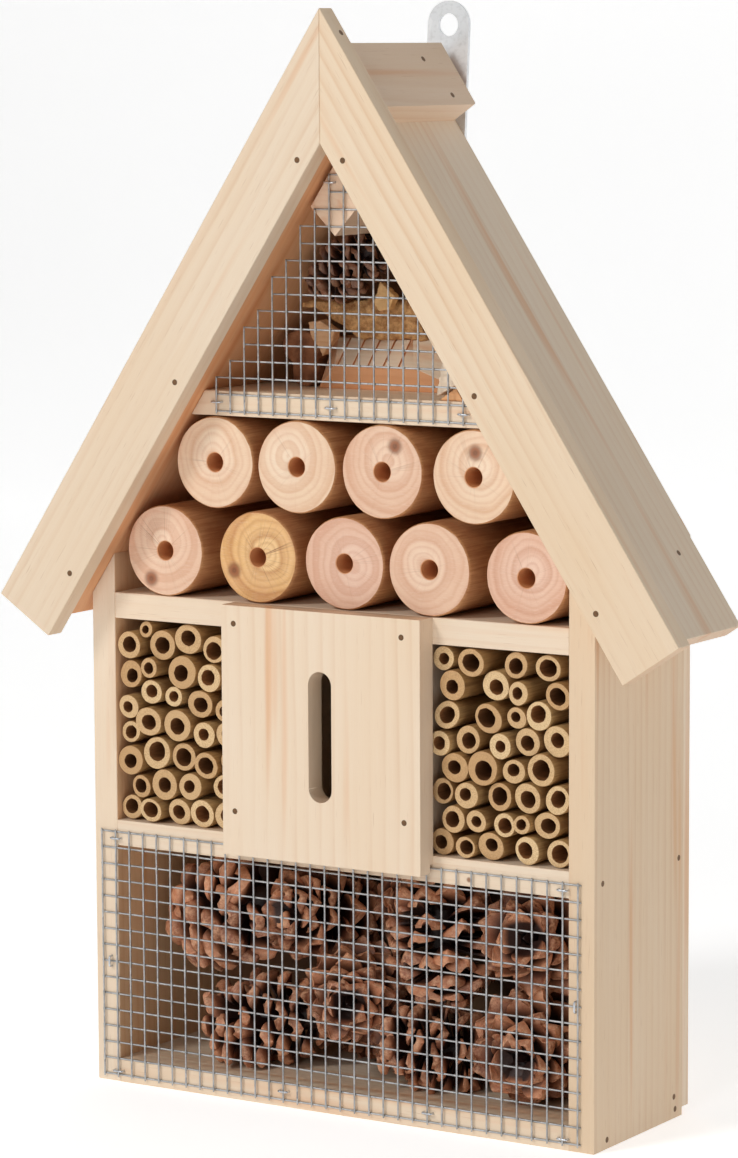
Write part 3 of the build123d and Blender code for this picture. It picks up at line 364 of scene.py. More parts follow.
def zinc(name, base, bright, spangle, worn=0.25, rough=(0.3, 0.5), metallic=1.0):
    """Galvanised steel: mottled zinc with dull and bright flecks."""
    g = Graph(name)
    place = g.object_mm()
    cells = g.add("ShaderNodeTexVoronoi")
    g.put(cells.inputs["Vector"], place)
    cells.inputs["Scale"].default_value = spangle
    cell_tone = g.vector("DOT_PRODUCT", cells.outputs["Color"], (0.5, 0.3, 0.2))
    haze = g.noise(place, (0.5, 0.5, 0.5), detail=4.0)
    fleck = g.noise(place, (2.8, 2.8, 2.8), detail=3.0, rough=0.7)
    colour = g.mix(cell_tone, base, bright)
    colour = g.mix(g.span(haze, 0.5, 0.75, 0.0, worn), colour, srgb(120, 118, 114))
    g.bump((fleck, 0.04, 0.4), (haze, 0.08, 0.3))
    roughness = g.span(g.math("ADD", cell_tone, fleck), 0.4, 1.4, *rough)
    return g.finish(colour, roughness, metallic=metallic, specular=0.5)


def nail_material():
    g = Graph("nail_heads")
    place = g.object_mm()
    rust = g.noise(place, (1.4, 1.4, 1.4), detail=4.0, rough=0.7)
    colour = g.mix(g.span(rust, 0.35, 0.7), srgb(98, 78, 60), srgb(142, 104, 72))
    g.bump((rust, 0.08, 0.5))
    return g.finish(colour, g.span(rust, 0.3, 0.7, 0.4, 0.7), metallic=0.7)


# ---- mesh helpers ------------------------------------------------------------------------


def mesh_object(name, verts, faces, material, attributes=None, origin=None):
    mesh = bpy.data.meshes.new(name)
    shift = Vector((0, 0, 0)) if origin is None else Vector(origin)
    mesh.from_pydata([Vector(v) - shift for v in verts], [], faces)
    for key, values in (attributes or {}).items():
        layer = mesh.attributes.new(key, "FLOAT", "POINT")
        layer.data.foreach_set("value", np.asarray(values, np.float32))
    mesh.validate()
    mesh.update()
    obj = bpy.data.objects.new(name, mesh)
    obj.location = shift
    bpy.context.scene.collection.objects.link(obj)
    mesh.materials.append(material)
    for poly in mesh.polygons:
        poly.use_smooth = True
    return obj


def islands(node):
    """Lowest and highest corner of each separate solid in a CAD node, in metres."""
    mesh = NODES[node].data
    count = len(mesh.vertices)
    co = np.zeros(count * 3)
    mesh.vertices.foreach_get("co", co)
    co = co.reshape(-1, 3)
    keys = {}
    label = np.zeros(count, int)
    for i, point in enumerate(np.round(co, 6)):
        label[i] = keys.setdefault(tuple(point), len(keys))
    parent = list(range(len(keys)))

    def top(a):
        while parent[a] != a:
            parent[a] = parent[parent[a]]
            a = parent[a]
        return a

    for edge in mesh.edges:
        a, b = top(label[edge.vertices[0]]), top(label[edge.vertices[1]])
        parent[a] = b
    groups = {}
    for i in range(count):
        groups.setdefault(top(label[i]), []).append(i)
    boxes = [(co[ids].min(0), co[ids].max(0)) for ids in groups.values()]
    return sorted(boxes, key=lambda b: (round(b[0][2], 5), round(b[0][0], 5)))


def own(obj, material_slot, *replaced):
    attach(obj, "root")
    if replaced:
        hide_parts(*replaced)
    return obj


def soften(node, material, material_slot, width=0.5):
    """A board with its long edges eased, standing for the sharp CAD board."""
    bm = bmesh.new()
    bm.from_mesh(NODES[node].data)
    bmesh.ops.remove_doubles(bm, verts=bm.verts, dist=1e-6)
    bmesh.ops.dissolve_limit(bm, angle_limit=math.radians(1.0), verts=bm.verts, edges=bm.edges)
    long_edges = [
        e for e in bm.edges
        if len(e.link_faces) == 2 and e.calc_length() > 4 * MM and e.calc_face_angle(0) > math.radians(25)
    ]
    bmesh.ops.bevel(bm, geom=long_edges, offset=width * MM, segments=3, profile=0.6, affect="EDGES",
                    clamp_overlap=True)
    mesh = bpy.data.meshes.new(node + "_eased")
    bm.to_mesh(mesh)
    bm.free()
    obj = bpy.data.objects.new(node + "_board", mesh)
    bpy.context.scene.collection.objects.link(obj)
    mesh.materials.append(material)
    for poly in mesh.polygons:
        poly.use_smooth = True
    mesh.set_sharp_from_angle(angle=math.radians(32))
    flat = obj.modifiers.new("flat_faces", "WEIGHTED_NORMAL")
    flat.weight = 100
    flat.keep_sharp = True
    return own(obj, material_slot, node)


# ---- boards -----------------------------------------------------------------------------------

ALONG_X = (0, 0, 0)
ALONG_Z = (0, math.radians(90), 0)
DOWN_RIGHT = (0, -SLOPE, 0)
DOWN_LEFT = (0, SLOPE, 0)
ALONG_Y = (0, 0, math.radians(-90))

UNDER_LEFT = (math.sin(SLOPE), 0, -math.cos(SLOPE))
SHELF_KNOTS = ((57.6, -36.0, 95.3, 0.9),)
BOARDS = (
    # node, grain, pith, ring spacing, seed, options
    # The left wall's inner face takes its dark warm tint as painted shade inside the house.
    ("left_side_wall", ALONG_Z, (-160.0, 96.0), 4.0, 1, {"tint": (1.0, 0.80, 0.62), "painted_shade_facing": (1, 0, 0)}),
    ("right_side_wall", ALONG_Z, (-190.0, -104.0), 4.6, 2, {"late": 0.6, "tint": (0.92, 0.87, 0.80)}),
    ("bottom_board", ALONG_X, (-120.0, -10.0), 3.4, 3, {"late": 0.5}),
    ("lower_shelf", ALONG_X, (-50.0, 60.0), 2.8, 4, {"late": 0.5, "knots": SHELF_KNOTS}),
    ("middle_shelf", ALONG_X, (-70.0, 150.0), 3.2, 5, {"late": 0.4}),
    ("upper_shelf", ALONG_X, (-80.0, 300.0), 3.0, 6, {"late": 0.45}),
    ("left_divider", ALONG_Z, (-20.0, -70.0), 3.0, 7, {}),
    ("right_divider", ALONG_Z, (-30.0, 90.0), 3.0, 8, {}),
    # The left roof panel's underside takes its orange-brown tint as painted shade under the roof.
    ("left_roof_panel", DOWN_LEFT, (-170.0, 236.0), 4.0, 9,
     {"tint": (0.94, 0.62, 0.42), "painted_shade_facing": UNDER_LEFT}),
    ("right_roof_panel", DOWN_RIGHT, (-170.0, 226.0), 4.4, 10, {"late": 0.5, "tint": (0.97, 0.97, 0.96)}),
    ("left_bargeboard", DOWN_LEFT, (-96.0, 300.0), 4.6, 11, {"late": 0.5, "tint": (0.94, 0.93, 0.91)}),
    ("right_bargeboard", DOWN_RIGHT, (-90.0, 296.0), 4.4, 12,
     {"late": 0.6, "warm": 0.5, "tint": (0.96, 0.94, 0.90)}),
    ("left_ridge_board", ALONG_Y, (30.0, 380.0), 4.0, 13, {"tint": (0.95, 0.86, 0.8)}),
    ("right_ridge_board", ALONG_Y, (-40.0, 420.0), 4.0, 14, {"late": 0.5, "tint": (0.95, 0.88, 0.84)}),
    ("butterfly_panel", ALONG_Z, (26.0, 150.0), 5.2, 15, {"late": 0.5}),
)
for node, grain, pith, spacing, seed, options in BOARDS:
    soften(node, pine(node + "_pine", grain, pith, spacing, seed, **options), "pine")

# Painted shade: the back panel's front face, inside the house, is tinted dark brown for the shadow there.
soften("back_panel", pine("back_panel_ply", ALONG_Z, (240.0, 0.0), 9.0, 16, late=0.5,
                          tint=(0.26, 0.17, 0.11),
                          painted_shade_facing=(0, -1, 0)), "back_board", width=0.3)

# ---- logs ---------------------------------------------------------------------------------------


def log_piece(node, material, seed):
    """A peeled log with an uneven outline, chipped rims and a blind bore."""
    low, high = (np.array(corner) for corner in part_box(node))
    centre = (low + high) / 2
    radius = (high[0] - low[0]) / 2
    y0, y1 = low[1], high[1]
    bore_r = LOG_BORE_R
    bore_end = y0 + LOG_BORE_DEPTH
    around = 96
    rng = random.Random(seed)
    phase = rng.uniform(0, 50)
    rings = []

    def outline(r, y, wander, lift=0.0):
        ring = []
        for k in range(around):
            a = 2 * math.pi * k / around
            swell = noise.noise(Vector((math.cos(a) * 1.1 + phase, math.sin(a) * 1.1, y * 18)))
            nibble = noise.noise(Vector((math.cos(a) * 9 + phase, math.sin(a) * 9, y * 90)))
            rr = r * (1 - wander * (0.012 + 0.012 * swell + 0.004 * nibble))
            dy = lift * noise.noise(Vector((math.cos(a) * r * 420 + phase, math.sin(a) * r * 420, 3.0)))
            ring.append((centre[0] + rr * math.cos(a), y + dy, centre[2] + rr * math.sin(a)))
        rings.append(ring)

    steps = 16
    outline(bore_r, bore_end, 0.0)
    for share in (0.66, 0.33, 0.06):
        outline(bore_r, y0 + (bore_end - y0) * share, 0.0)
    outline(bore_r * 1.03, y0 + 0.35 * MM, 0.0)
    outline(bore_r * 1.16, y0 + 0.05 * MM, 0.0, lift=0.05 * MM)
    for share in (0.34, 0.5, 0.66, 0.8, 0.92):
        outline(radius * share, y0 + 0.1 * MM, 0.3, lift=0.12 * MM)
    outline(radius * 0.972, y0 + 0.12 * MM, 1.0, lift=0.15 * MM)
    outline(radius * 0.992, y0 + 0.55 * MM, 1.0)
    for i in range(steps + 1):
        outline(radius, y0 + 1.3 * MM + (y1 - y0 - 2.6 * MM) * i / steps, 1.0)
    outline(radius * 0.985, y1 - 0.3 * MM, 1.0)
    outline(radius * 0.6, y1, 0.5)
    outline(radius * 0.2, y1, 0.2)
    verts = [p for ring in rings for p in ring]
    bore = [1.0 if i < 5 else 0.0 for i, ring in enumerate(rings) for _ in ring]
    faces = []
    for i in range(len(rings) - 1):
        for k in range(around):
            a, b = i * around + k, i * around + (k + 1) % around
            faces.append((a, a + around, b + around, b))
    for ring_start, y, flip in ((0, bore_end, False), ((len(rings) - 1) * around, y1, True)):
        hub = len(verts)
        verts.append((centre[0], y, centre[2]))
        bore.append(0.0 if flip else 1.0)
        for k in range(around):
            a, b = ring_start + k, ring_start + (k + 1) % around
            faces.append((a, hub, b) if flip else (a, b, hub))
    obj = mesh_object(node + "_log", verts, faces, material, attributes={"bore": bore}, origin=centre)
    obj.data.set_sharp_from_angle(angle=math.radians(40))
    return own(obj, "log_wood", node)


LOG_TONES = {
    "pink": (srgb(240, 210, 184), srgb(230, 192, 164), srgb(206, 150, 118)),
    "cream": (srgb(242, 218, 192), srgb(236, 206, 176), srgb(212, 162, 124)),
    "honey": (srgb(238, 200, 146), srgb(230, 182, 122), srgb(180, 112, 56)),
    "rose": (srgb(236, 202, 180), srgb(226, 184, 158), srgb(202, 144, 116)),
}
LOGS = (
    ("top_log_1", "cream", 0.3, None), ("top_log_2", "cream", 0.2, None),
    ("top_log_3", "pink", 0.25, (5.6, 0.0, 9.6)), ("top_log_4", "cream", 0.25, (0.8, 0.0, 8.8)),
    ("bottom_log_1", "pink", 0.45, (-6.5, 0.0, -11.0)), ("bottom_log_2", "honey", 0.9, (-10.5, 0.0, -5.5)),
    ("bottom_log_3", "rose", 0.2, None), ("bottom_log_4", "pink", 0.2, None),
    ("bottom_log_5", "rose", 0.3, None),
)
for seed, (node, tone, crack, knot) in enumerate(LOGS):
    log_piece(node, log_wood(node + "_wood", *LOG_TONES[tone], crack=crack, knot=knot), seed + 3)

# ---- hollow stems ---------------------------------------------------------------------------------


def stem_bundle(node, material, seed):
    """Each stem is slightly oval and flattened, with an uneven wall and a nodding bore."""
    rng = random.Random(seed)
    verts, faces, tones, insides = [], [], [], []
    around = 40
    for low, high in islands(node):
        cx, cz = (low[0] + high[0]) / 2, (low[2] + high[2]) / 2
        radius = (high[0] - low[0]) / 2
        y0, y1 = low[1], high[1]
        tone = rng.random()
        squash = rng.uniform(0.0, 0.11)
        axis = rng.uniform(0, math.pi)
        beak = rng.choice((0.0, 0.0, 0.08, 0.14, 0.2))
        beak_at = rng.uniform(0, 2 * math.pi)
        bore = rng.uniform(0.44, 0.64)
        off = radius * rng.uniform(0.0, 0.13)
        off_at = rng.uniform(0, 2 * math.pi)
        knot_y = rng.uniform(0.35, 0.8)
        phase = rng.uniform(0, 100)
        tilt = rng.uniform(-0.5, 0.5) * MM
        start = len(verts)
        rings = 0

        def ring(scale, y, inner, mouth=False):
            nonlocal rings
            for k in range(around):
                a = 2 * math.pi * k / around
                r = radius * (1 - squash * math.cos(a - axis) ** 2)
                wrapped = (a - beak_at + math.pi) % (2 * math.pi) - math.pi
                r *= 1 - beak * (1 - math.exp(-(wrapped / 0.9) ** 2)) * 0.6
                r *= 1 + 0.012 * noise.noise(Vector((math.cos(a) * 2 + phase, math.sin(a) * 2, y * 60)))
                r *= scale
                if inner:
                    bump_at = Vector((math.cos(a) * 3 + phase, math.sin(a) * 3, y * 40 + 9))
                    r *= 1 + 0.05 * noise.noise(bump_at)
                dx = off * math.cos(off_at) if inner else 0.0
                dz = off * math.sin(off_at) if inner else 0.0
                ragged = 0.14 * MM * noise.noise(Vector((math.cos(a) * 5 + phase, math.sin(a) * 5, scale)))
                dy = (tilt * math.sin(a) * scale + ragged) if mouth else 0.0
                verts.append((cx + dx + r * math.cos(a), y + max(dy, -0.4 * MM), cz + dz + r * math.sin(a)))
                tones.append(tone)
                insides.append(1.0 if inner else 0.0)
            rings += 1

        ring(bore, y0 + STEM_BORE_DEPTH, True)
        ring(bore, y0 + 14 * MM, True)
        ring(bore * 1.01, y0 + 0.9 * MM, True, mouth=True)
        ring(bore * 1.05, y0 + 0.42 * MM, True, mouth=True)
        ring((bore + 1) / 2, y0 + 0.34 * MM, False, mouth=True)
        ring(0.965, y0 + 0.40 * MM, False, mouth=True)
        ring(0.995, y0 + 0.75 * MM, False, mouth=True)
        for share in (0.1, knot_y - 0.05, knot_y, knot_y + 0.05, 0.97):
            ring(1.0 if share == knot_y else 0.985, y0 + (y1 - y0) * share, False)
        ring(0.94, y1, False)
        for i in range(rings - 1):
            for k in range(around):
                a = start + i * around + k
                b = start + i * around + (k + 1) % around
                faces.append((a, a + around, b + around, b))
        for first, y, flip, mark in ((start, y0 + STEM_BORE_DEPTH, False, 1.0),
                                     (start + (rings - 1) * around, y1, True, 0.0)):
            hub = len(verts)
            verts.append((cx, y, cz))
            tones.append(tone)
            insides.append(mark)
            for k in range(around):
                a, b = first + k, first + (k + 1) % around
                faces.append((a, hub, b) if flip else (a, b, hub))
    obj = mesh_object(node + "_reeds", verts, faces, material, attributes={"tone": tones, "inside": insides})
    obj.data.set_sharp_from_angle(angle=math.radians(50))
    return own(obj, "bamboo", node)


stems = stem_material()
for hand in ("left", "right"):
    for number in (1, 2):
        stem_bundle(f"{hand}_stems_{number}", stems, 40 + number + (10 if hand == "right" else 0))

# ---- pine cones --------------------------------------------------------------------------------------


def scale_grid(rng, length, width, thick, curl, cup):
    """One cone scale: a flaring cupped plate with a thick blunt tip and a small beak on its back."""
    rows, cols = 9, 7
    top, under, tips = [], [], []
    skew = rng.uniform(-0.12, 0.12)
    twist = rng.uniform(-0.15, 0.15)
    for i in range(rows):
        u = i / (rows - 1)
        flare = 0.26 + 0.74 * math.sin(min(u / 0.72, 1.0) * math.pi / 2) ** 1.3
        if u > 0.72:
            flare *= math.sqrt(max(1 - ((u - 0.72) / 0.30) ** 2, 0.0))
        for j in range(cols):
            v = 2 * j / (cols - 1) - 1
            x = length * (u - 0.06 * v * v * u)
            y = width * (flare * v + skew * u * u)
            z = curl * length * u * u + cup * width * v * v * u + twist * width * v * u
            depth = thick * (0.45 + 0.85 * u ** 2) * (1 - 0.55 * v * v)
            if u > 0.93:
                depth *= 0.55
            beak = 0.55 * thick * math.exp(-((u - 0.84) / 0.1) ** 2 - (v / 0.35) ** 2)
            top.append((x, y, z))
            under.append((x + 0.25 * beak, y, z - depth - beak))
            tips.append(u)
    faces = []
    count = rows * cols
    for i in range(rows - 1):
        for j in range(cols - 1):
            a = i * cols + j
            faces.append((a, a + 1, a + cols + 1, a + cols))
            faces.append((count + a, count + a + cols, count + a + cols + 1, count + a + 1))
    rim = [j for j in range(cols)] + [i * cols + cols - 1 for i in range(1, rows)]
    rim += [(rows - 1) * cols + j for j in range(cols - 2, -1, -1)]
    rim += [i * cols for i in range(rows - 2, 0, -1)]
    for a, b in zip(rim, rim[1:] + rim[:1]):
        faces.append((b, a, count + a, count + b))
    return top + under, faces, tips + tips


def chamber(node):
    """Where a cone's scales may reach: its compartment, or a little past the CAD cone in the gable."""
    low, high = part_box(node)
    if low.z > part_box("upper_shelf")[1].z:
        return low - Vector((0.001, 0.001, 0.001)), high + Vector((0.001, 0.001, 0.001))
    wall_l, wall_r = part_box("left_side_wall")[1].x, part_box("right_side_wall")[0].x
    back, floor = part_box("back_panel")[0].y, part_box("bottom_board")[1].z
    mesh_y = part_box("lower_mesh_cross_wires")[1].y
    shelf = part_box("lower_shelf")[0].z
    return Vector((wall_l, mesh_y + 0.0002, floor)), Vector((wall_r, back, shelf))


def pine_cone(node, tip_dir, material, seed, openness=1.0):
    """A cone of scales set round its core by the golden angle.

    It is CONE_FULLNESS times as thick as the CAD cone, and is cut off where it would leave its chamber.
    """
    rng = random.Random(seed)
    low, high = (Vector(corner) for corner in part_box(node))
    middle = (low + high) / 2
    axis = Vector(tip_dir).normalized()
    ends = [abs(axis[i]) for i in range(3)]
    size = high - low
    long_side = max(range(3), key=lambda i: ends[i])
    length = size[long_side] / ends[long_side] * (0.99 - 0.25 * (1 - ends[long_side]))
    girth = min(size[i] for i in range(3) if i != long_side) / 2 * CONE_FULLNESS
    side = axis.cross(Vector((0.2, 0.35, 0.9))).normalized()
    other = axis.cross(side)
    base = middle - axis * length / 2
    room = chamber(node)
    verts, faces, tips, tones = [], [], [], []
    count = SCALES_PER_CONE
    for i in range(count):
        t = (i + 0.5) / count
        along = length * (0.10 + 0.80 * t ** 0.92)
        core = girth * (0.30 - 0.16 * t)
        reach = girth * math.sin(math.pi * (0.24 + 0.70 * t)) ** 0.75
        reach *= rng.uniform(0.88, 1.05)
        open_angle = math.radians((100 - 60 * t) * openness + rng.uniform(-11, 11))
        turn = math.radians(GOLDEN_ANGLE * i + rng.uniform(-4, 4))
        out = (side * math.cos(turn) + other * math.sin(turn)).normalized()
        across = axis.cross(out).normalized()
        run = out * math.sin(open_angle) + axis * math.cos(open_angle)
        rise = across.cross(run) * -1
        if rise.dot(axis) < 0:
            rise = -rise
        scale_len = max((reach - core) / max(math.sin(open_angle), 0.45), girth * 0.32)
        width = girth * rng.uniform(0.22, 0.32) * (1.08 - 0.35 * t)
        thick = girth * 0.095 * rng.uniform(0.85, 1.25)
        curl = rng.uniform(-0.28, 0.10)
        cup = rng.uniform(0.15, 0.55)
        points, quads, marks = scale_grid(rng, scale_len, width, thick, curl, cup)
        root = base + axis * along + out * core * 0.8
        first = len(verts)
        tone = rng.random()
        for (x, y, z), mark in zip(points, marks):
            p = root + run * x + across * y + rise * z
            verts.append(p)
            tips.append(mark)
            tones.append(tone)
        faces += [tuple(first + k for k in quad) for quad in quads]
    # The woody core that carries the scales.
    around, rows = 18, 10
    first = len(verts)
    for i in range(rows):
        t = i / (rows - 1)
        r = girth * (0.34 - 0.30 * t) * (1 if 0 < i < rows - 1 else 0.35)
        for k in range(around):
            a = 2 * math.pi * k / around
            spoke = (side * math.cos(a) + other * math.sin(a)) * r
            verts.append(base + axis * length * (0.04 + 0.92 * t) + spoke)
            tips.append(0.1)
            tones.append(0.3)
    for i in range(rows - 1):
        for k in range(around):
            a, b = first + i * around + k, first + i * around + (k + 1) % around
            faces.append((a, b, b + around, a + around))
    faces.append(tuple(first + k for k in reversed(range(around))))
    faces.append(tuple(first + (rows - 1) * around + k for k in range(around)))
    room_low, room_high = room
    verts = [Vector(tuple(min(max(p[k], room_low[k]), room_high[k]) for k in range(3))) for p in verts]
    obj = mesh_object(node + "_scales", verts, faces, material,
                      attributes={"tip": tips, "tone": tones}, origin=middle)
    obj.data.set_sharp_from_angle(angle=math.radians(55))
    return own(obj, "pine_cone", node)


CONES = (
    ("pine_cone_1", (-0.93, 0.05, -0.3), 1.15), ("pine_cone_2", (-0.85, -0.4, -0.1), 0.9),
    ("pine_cone_3", (-0.3, -0.9, 0.15), 1.0), ("pine_cone_4", (0.35, -0.9, 0.0), 1.0),
    ("pine_cone_5", (0.15, -0.2, -0.95), 1.1), ("pine_cone_6", (-0.8, -0.55, 0.1), 1.0),
    ("pine_cone_7", (0.1, -0.95, -0.1), 1.05), ("pine_cone_8", (0.1, -0.9, 0.15), 1.0),
    ("pine_cone_9", (0.3, -0.9, 0.2), 1.0), ("pine_cone_10", (0.95, -0.3, 0.05), 1.0),
    ("gable_cone", (-0.8, -0.1, -0.55), 1.0),
)
cone_scales = cone_material("cone_scales", 0.0)
# The gable cone takes 62% painted shade for the shadow deep in the gable.
shaded_gable_scales = cone_material("painted_shade_cone_scales", 0.62)
for seed, (node, tip_dir, openness) in enumerate(CONES):
    pine_cone(node, tip_dir, shaded_gable_scales if node == "gable_cone" else cone_scales, 70 + seed, openness)

# ---- gable filling -------------------------------------------------------------------------------------


def rough_piece(node, material, material_slot, voxel, swell, size, seed):
    """A split or sawn offcut: the CAD shape remeshed and worn by noise."""
    source = NODES[node]
    obj = bpy.data.objects.new(node + "_rough", source.data.copy())
    bpy.context.scene.collection.objects.link(obj)
    obj.data.materials.clear()
    obj.data.materials.append(material)
    remesh = obj.modifiers.new("grain", "REMESH")
    remesh.mode = "VOXEL"
    remesh.voxel_size = voxel * MM
    smooth = obj.modifiers.new("ease", "SMOOTH")
    smooth.factor = 0.5
    smooth.iterations = 2
    depsgraph = bpy.context.evaluated_depsgraph_get()
    mesh = bpy.data.meshes.new_from_object(obj.evaluated_get(depsgraph))
    obj.modifiers.clear()
    obj.data = mesh
    for vert in mesh.vertices:
        p = vert.co * (1.0 / (size * MM)) + Vector((seed, 0, 0))
        vert.co += vert.normal * noise.fractal(p, 1.0, 2.0, 4) * swell * MM
    for poly in mesh.polygons:
        poly.use_smooth = True
    return own(obj, material_slot, node)


soften("ridge_block", pine("ridge_block_pine", ALONG_Y, (4.0, 330.0), 2.2, 21, late=0.4, cut=0.04,
                           tint=(0.97, 0.88, 0.84)), "pine", width=0.35)
# The sawn block: faces turned up and to the front stay pale, the rest take an orange tint.
soften("sawn_block", pine("sawn_block_pine", ALONG_X, (-40.0, 240.0), 2.4, 22, late=0.6,
                          tint=(0.94, 0.60, 0.40), untinted_facing=(0, -0.72, 0.69)), "pine", width=0.3)
bark_wood = bark_material("bark_plates", srgb(158, 104, 60), srgb(230, 182, 124), moss=0.06)
rough_piece("bark_piece", bark_wood, "bark", 0.8, 1.6, 7.0, 5)
branch_wood = bark_material("branch_bark", srgb(112, 70, 46), srgb(172, 118, 82), (0.2, 0.2, 0.2))
rough_piece("branch_slice", branch_wood, "bark", 0.7, 0.8, 9.0, 9)
chunk_wood = pine("chunk_pine", ALONG_X, (0.0, 260.0), 2.0, 23, tint=(0.82, 0.62, 0.45))
rough_piece("wood_chunk", chunk_wood, "pine", 0.5, 0.5, 5.0, 12)
splinter_wood = pine("splinter_pine", ALONG_Z, (0.0, 20.0), 1.8, 24, warm=0.9, tint=(1.0, 0.80, 0.50))
rough_piece("splinter", splinter_wood, "pine", 0.35, 0.4, 3.0, 15)
pale_wood = pine("pale_offcut_pine", ALONG_Y, (40.0, 270.0), 1.6, 25, late=0.3, cut=0.0)
rough_piece("pale_offcut", pale_wood, "pine", 0.5, 0.3, 3.0, 18)
small_wood = pine("small_offcut_pine", ALONG_X, (0.0, 250.0), 1.6, 26, tint=(0.90, 0.60, 0.38))
rough_piece("small_offcut", small_wood, "pine", 0.35, 0.25, 3.0, 21)

# ---- wire mesh --------------------------------------------------------------------------------------------

def wires(node, along, material, crossings, seed):
    """Welded wires: each one slightly wavy, thickened where it is welded to the crossing wires."""
    rng = random.Random(seed)
    verts, faces = [], []
    around = 10
    for low, high in islands(node):
        mid = (low + high) / 2
        radius = (high[1] - low[1]) / 2
        start, stop = low[along], high[along]
        steps = max(int((stop - start) / (MESH_CELL / WIRE_STEPS_PER_CELL)), 8)
        phase = rng.uniform(0, 100)
        first = len(verts)
        cross_axis = 2 if along == 0 else 0
        for i in range(steps + 1):
            s = start + (stop - start) * i / steps
            near = min(abs(s - c) for c in crossings)
            r = radius * (1 + 0.22 * math.exp(-(near / (0.7 * MM)) ** 2))
            if i in (0, steps):
                r *= 0.75
            sway = 0.10 * MM * noise.noise(Vector((s * 60, phase, 0)))
            for k in range(around):
                a = 2 * math.pi * k / around
                p = [0.0, 0.0, 0.0]
                p[along] = s
                p[1] = mid[1] + r * math.cos(a)
                p[cross_axis] = mid[cross_axis] + sway + r * math.sin(a)
                verts.append(tuple(p))
        for i in range(steps):
            for k in range(around):
                a, b = first + i * around + k, first + i * around + (k + 1) % around
                quad = (a, b, b + around, a + around)
                faces.append(quad if along == 0 else quad[::-1])
        caps = (tuple(first + k for k in range(around)),
                tuple(first + steps * around + k for k in reversed(range(around))))
        for cap in caps:
            faces.append(cap[::-1] if along == 0 else cap)
    obj = mesh_object(node + "_wire", verts, faces, material)
    return own(obj, "galvanised_wire", node)


wire_zinc = zinc("wire_zinc", srgb(158, 160, 162), srgb(208, 209, 210), 0.4, rough=(0.42, 0.6))
for area in ("lower_mesh", "gable_mesh"):
    upright_places = [(low[0] + high[0]) / 2 for low, high in islands(area + "_uprights")]
    cross_places = [(low[2] + high[2]) / 2 for low, high in islands(area + "_cross_wires")]
    wires(area + "_uprights", 2, wire_zinc, cross_places, 90)
    wires(area + "_cross_wires", 0, wire_zinc, upright_places, 91)

staple_zinc = zinc("staple_zinc", srgb(176, 180, 186), srgb(226, 230, 236), 0.5, rough=(0.22, 0.4))
for node in ("lower_mesh_staples", "gable_mesh_staples"):
    NODES[node].data.materials.clear()
    NODES[node].data.materials.append(staple_zinc)

nail_steel = nail_material()
for node in ("bargeboard_nails", "roof_nails", "side_wall_nails", "panel_nails"):
    NODES[node].data.materials.clear()
    NODES[node].data.materials.append(nail_steel)

soften("hanger_plate", zinc("plate_zinc", srgb(226, 229, 232), srgb(250, 251, 252), 0.12, worn=0.2,
                            rough=(0.36, 0.55), metallic=0.5), "galvanised_plate", width=0.25)
screw_zinc = zinc("screw_zinc", srgb(168, 164, 150), srgb(214, 208, 190), 0.5)
NODES["hanger_screws"].data.materials.clear()
NODES["hanger_screws"].data.materials.append(screw_zinc)

# ---- stage, light, camera ------------------------------------------------------------------


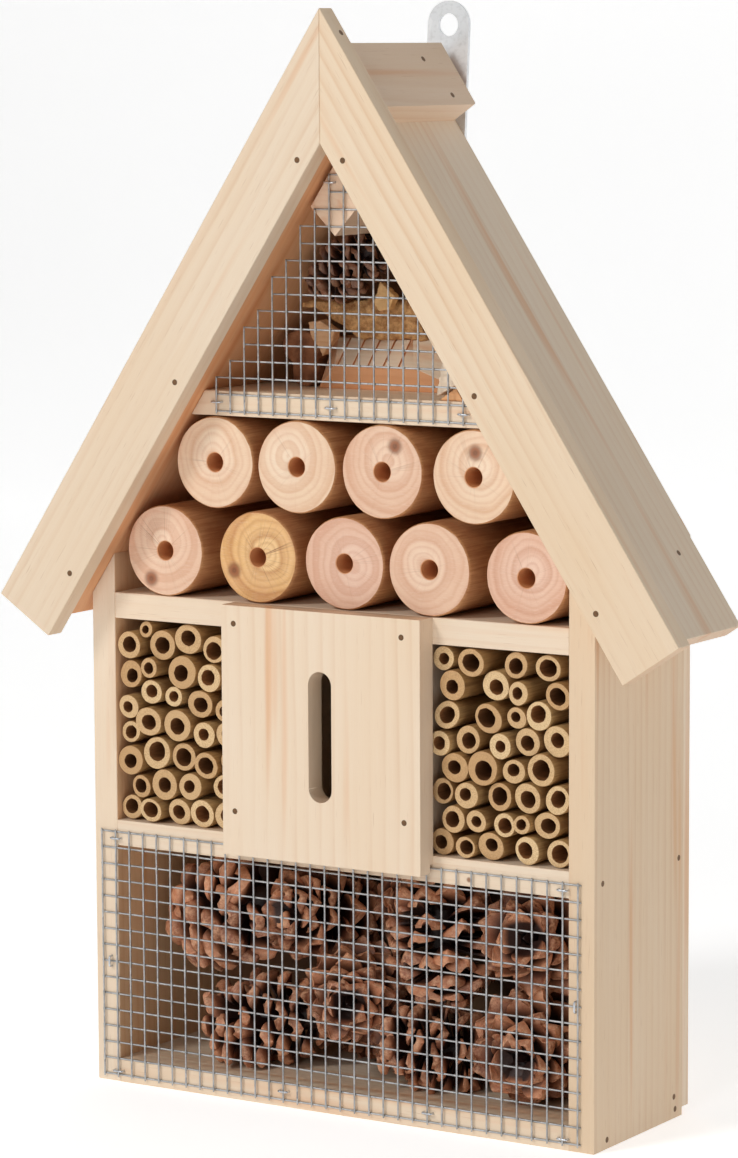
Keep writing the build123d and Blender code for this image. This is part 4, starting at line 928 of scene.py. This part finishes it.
def backdrop():
    g = Graph("pale_floor")
    place = g.object_mm()
    haze = g.noise(place, (0.002, 0.002, 0.002), detail=2.0)
    g.bump((haze, 0.1, 0.1))
    colour = g.mix(haze, srgb(246, 246, 246), srgb(250, 250, 250))
    g.put(g.surface.inputs["Emission Color"], colour)
    g.surface.inputs["Emission Strength"].default_value = 0.53
    material = g.finish(colour, g.span(haze, 0.3, 0.7, 0.8, 0.9), specular=0.1)
    half, front, rear, rise, bend = 4.0, -4.0, 1.6, 3.2, 0.9
    profile = [(front, 0.0)]
    for i in range(13):
        a = math.pi / 2 * i / 12
        profile.append((rear + bend * math.sin(a), bend * (1 - math.cos(a))))
    profile.append((rear + bend, rise))
    verts = [(x, y, z) for y, z in profile for x in (-half, half)]
    faces = [(2 * i, 2 * i + 1, 2 * i + 3, 2 * i + 2) for i in range(len(profile) - 1)]
    mesh_object("backdrop", verts, faces, material)


def area_light(name, place, target, power, size, colour=(1, 1, 1)):
    data = bpy.data.lights.new(name, "AREA")
    data.energy = power
    data.shape = "DISK"
    data.size = size
    data.color = colour
    obj = bpy.data.objects.new(name, data)
    obj.location = place
    obj.rotation_euler = (Vector(target) - Vector(place)).to_track_quat("-Z", "Y").to_euler()
    bpy.context.scene.collection.objects.link(obj)


def camera():
    yaw, pitch, roll = (math.radians(v) for v in (32.304, 7.223, -0.275))
    distance = 1.570477
    target = Vector((-3.73, -6.0, 198.363)) * MM
    back = Vector((math.sin(yaw) * math.cos(pitch), -math.cos(yaw) * math.cos(pitch), math.sin(pitch)))
    right = Vector((math.cos(yaw), math.sin(yaw), 0))
    up = back.cross(right)
    side = right * math.cos(roll) + up * math.sin(roll)
    top = up * math.cos(roll) - right * math.sin(roll)
    data = bpy.data.cameras.new("photo_view")
    data.sensor_fit = "VERTICAL"
    data.sensor_height = 36.0
    data.lens = 36.0 * 4197.036 / 1158
    data.clip_end = 30
    obj = bpy.data.objects.new("photo_view", data)
    turn = Matrix((side, top, back)).transposed()
    obj.matrix_world = Matrix.Translation(target + back * distance) @ turn.to_4x4()
    bpy.context.scene.collection.objects.link(obj)
    bpy.context.scene.camera = obj


backdrop()
area_light("key", (-0.85, -2.0, 1.75), (0, 0, 0.2), 26.5, 0.7, (1.0, 0.99, 0.975))
area_light("front", (0.3, -2.3, 1.0), (0, 0, 0.08), 9, 0.8, (1.0, 0.99, 0.975))
area_light("side", (2.2, -0.2, 1.0), (0, 0, 0.2), 4.6, 1.6)
world = bpy.data.worlds.new("soft_white")
world.use_nodes = True
world.node_tree.nodes["Background"].inputs[0].default_value = (1, 1, 1, 1)
world.node_tree.nodes["Background"].inputs[1].default_value = 0.17
bpy.context.scene.world = world
bpy.context.scene.view_settings.view_transform = "Standard"
camera()
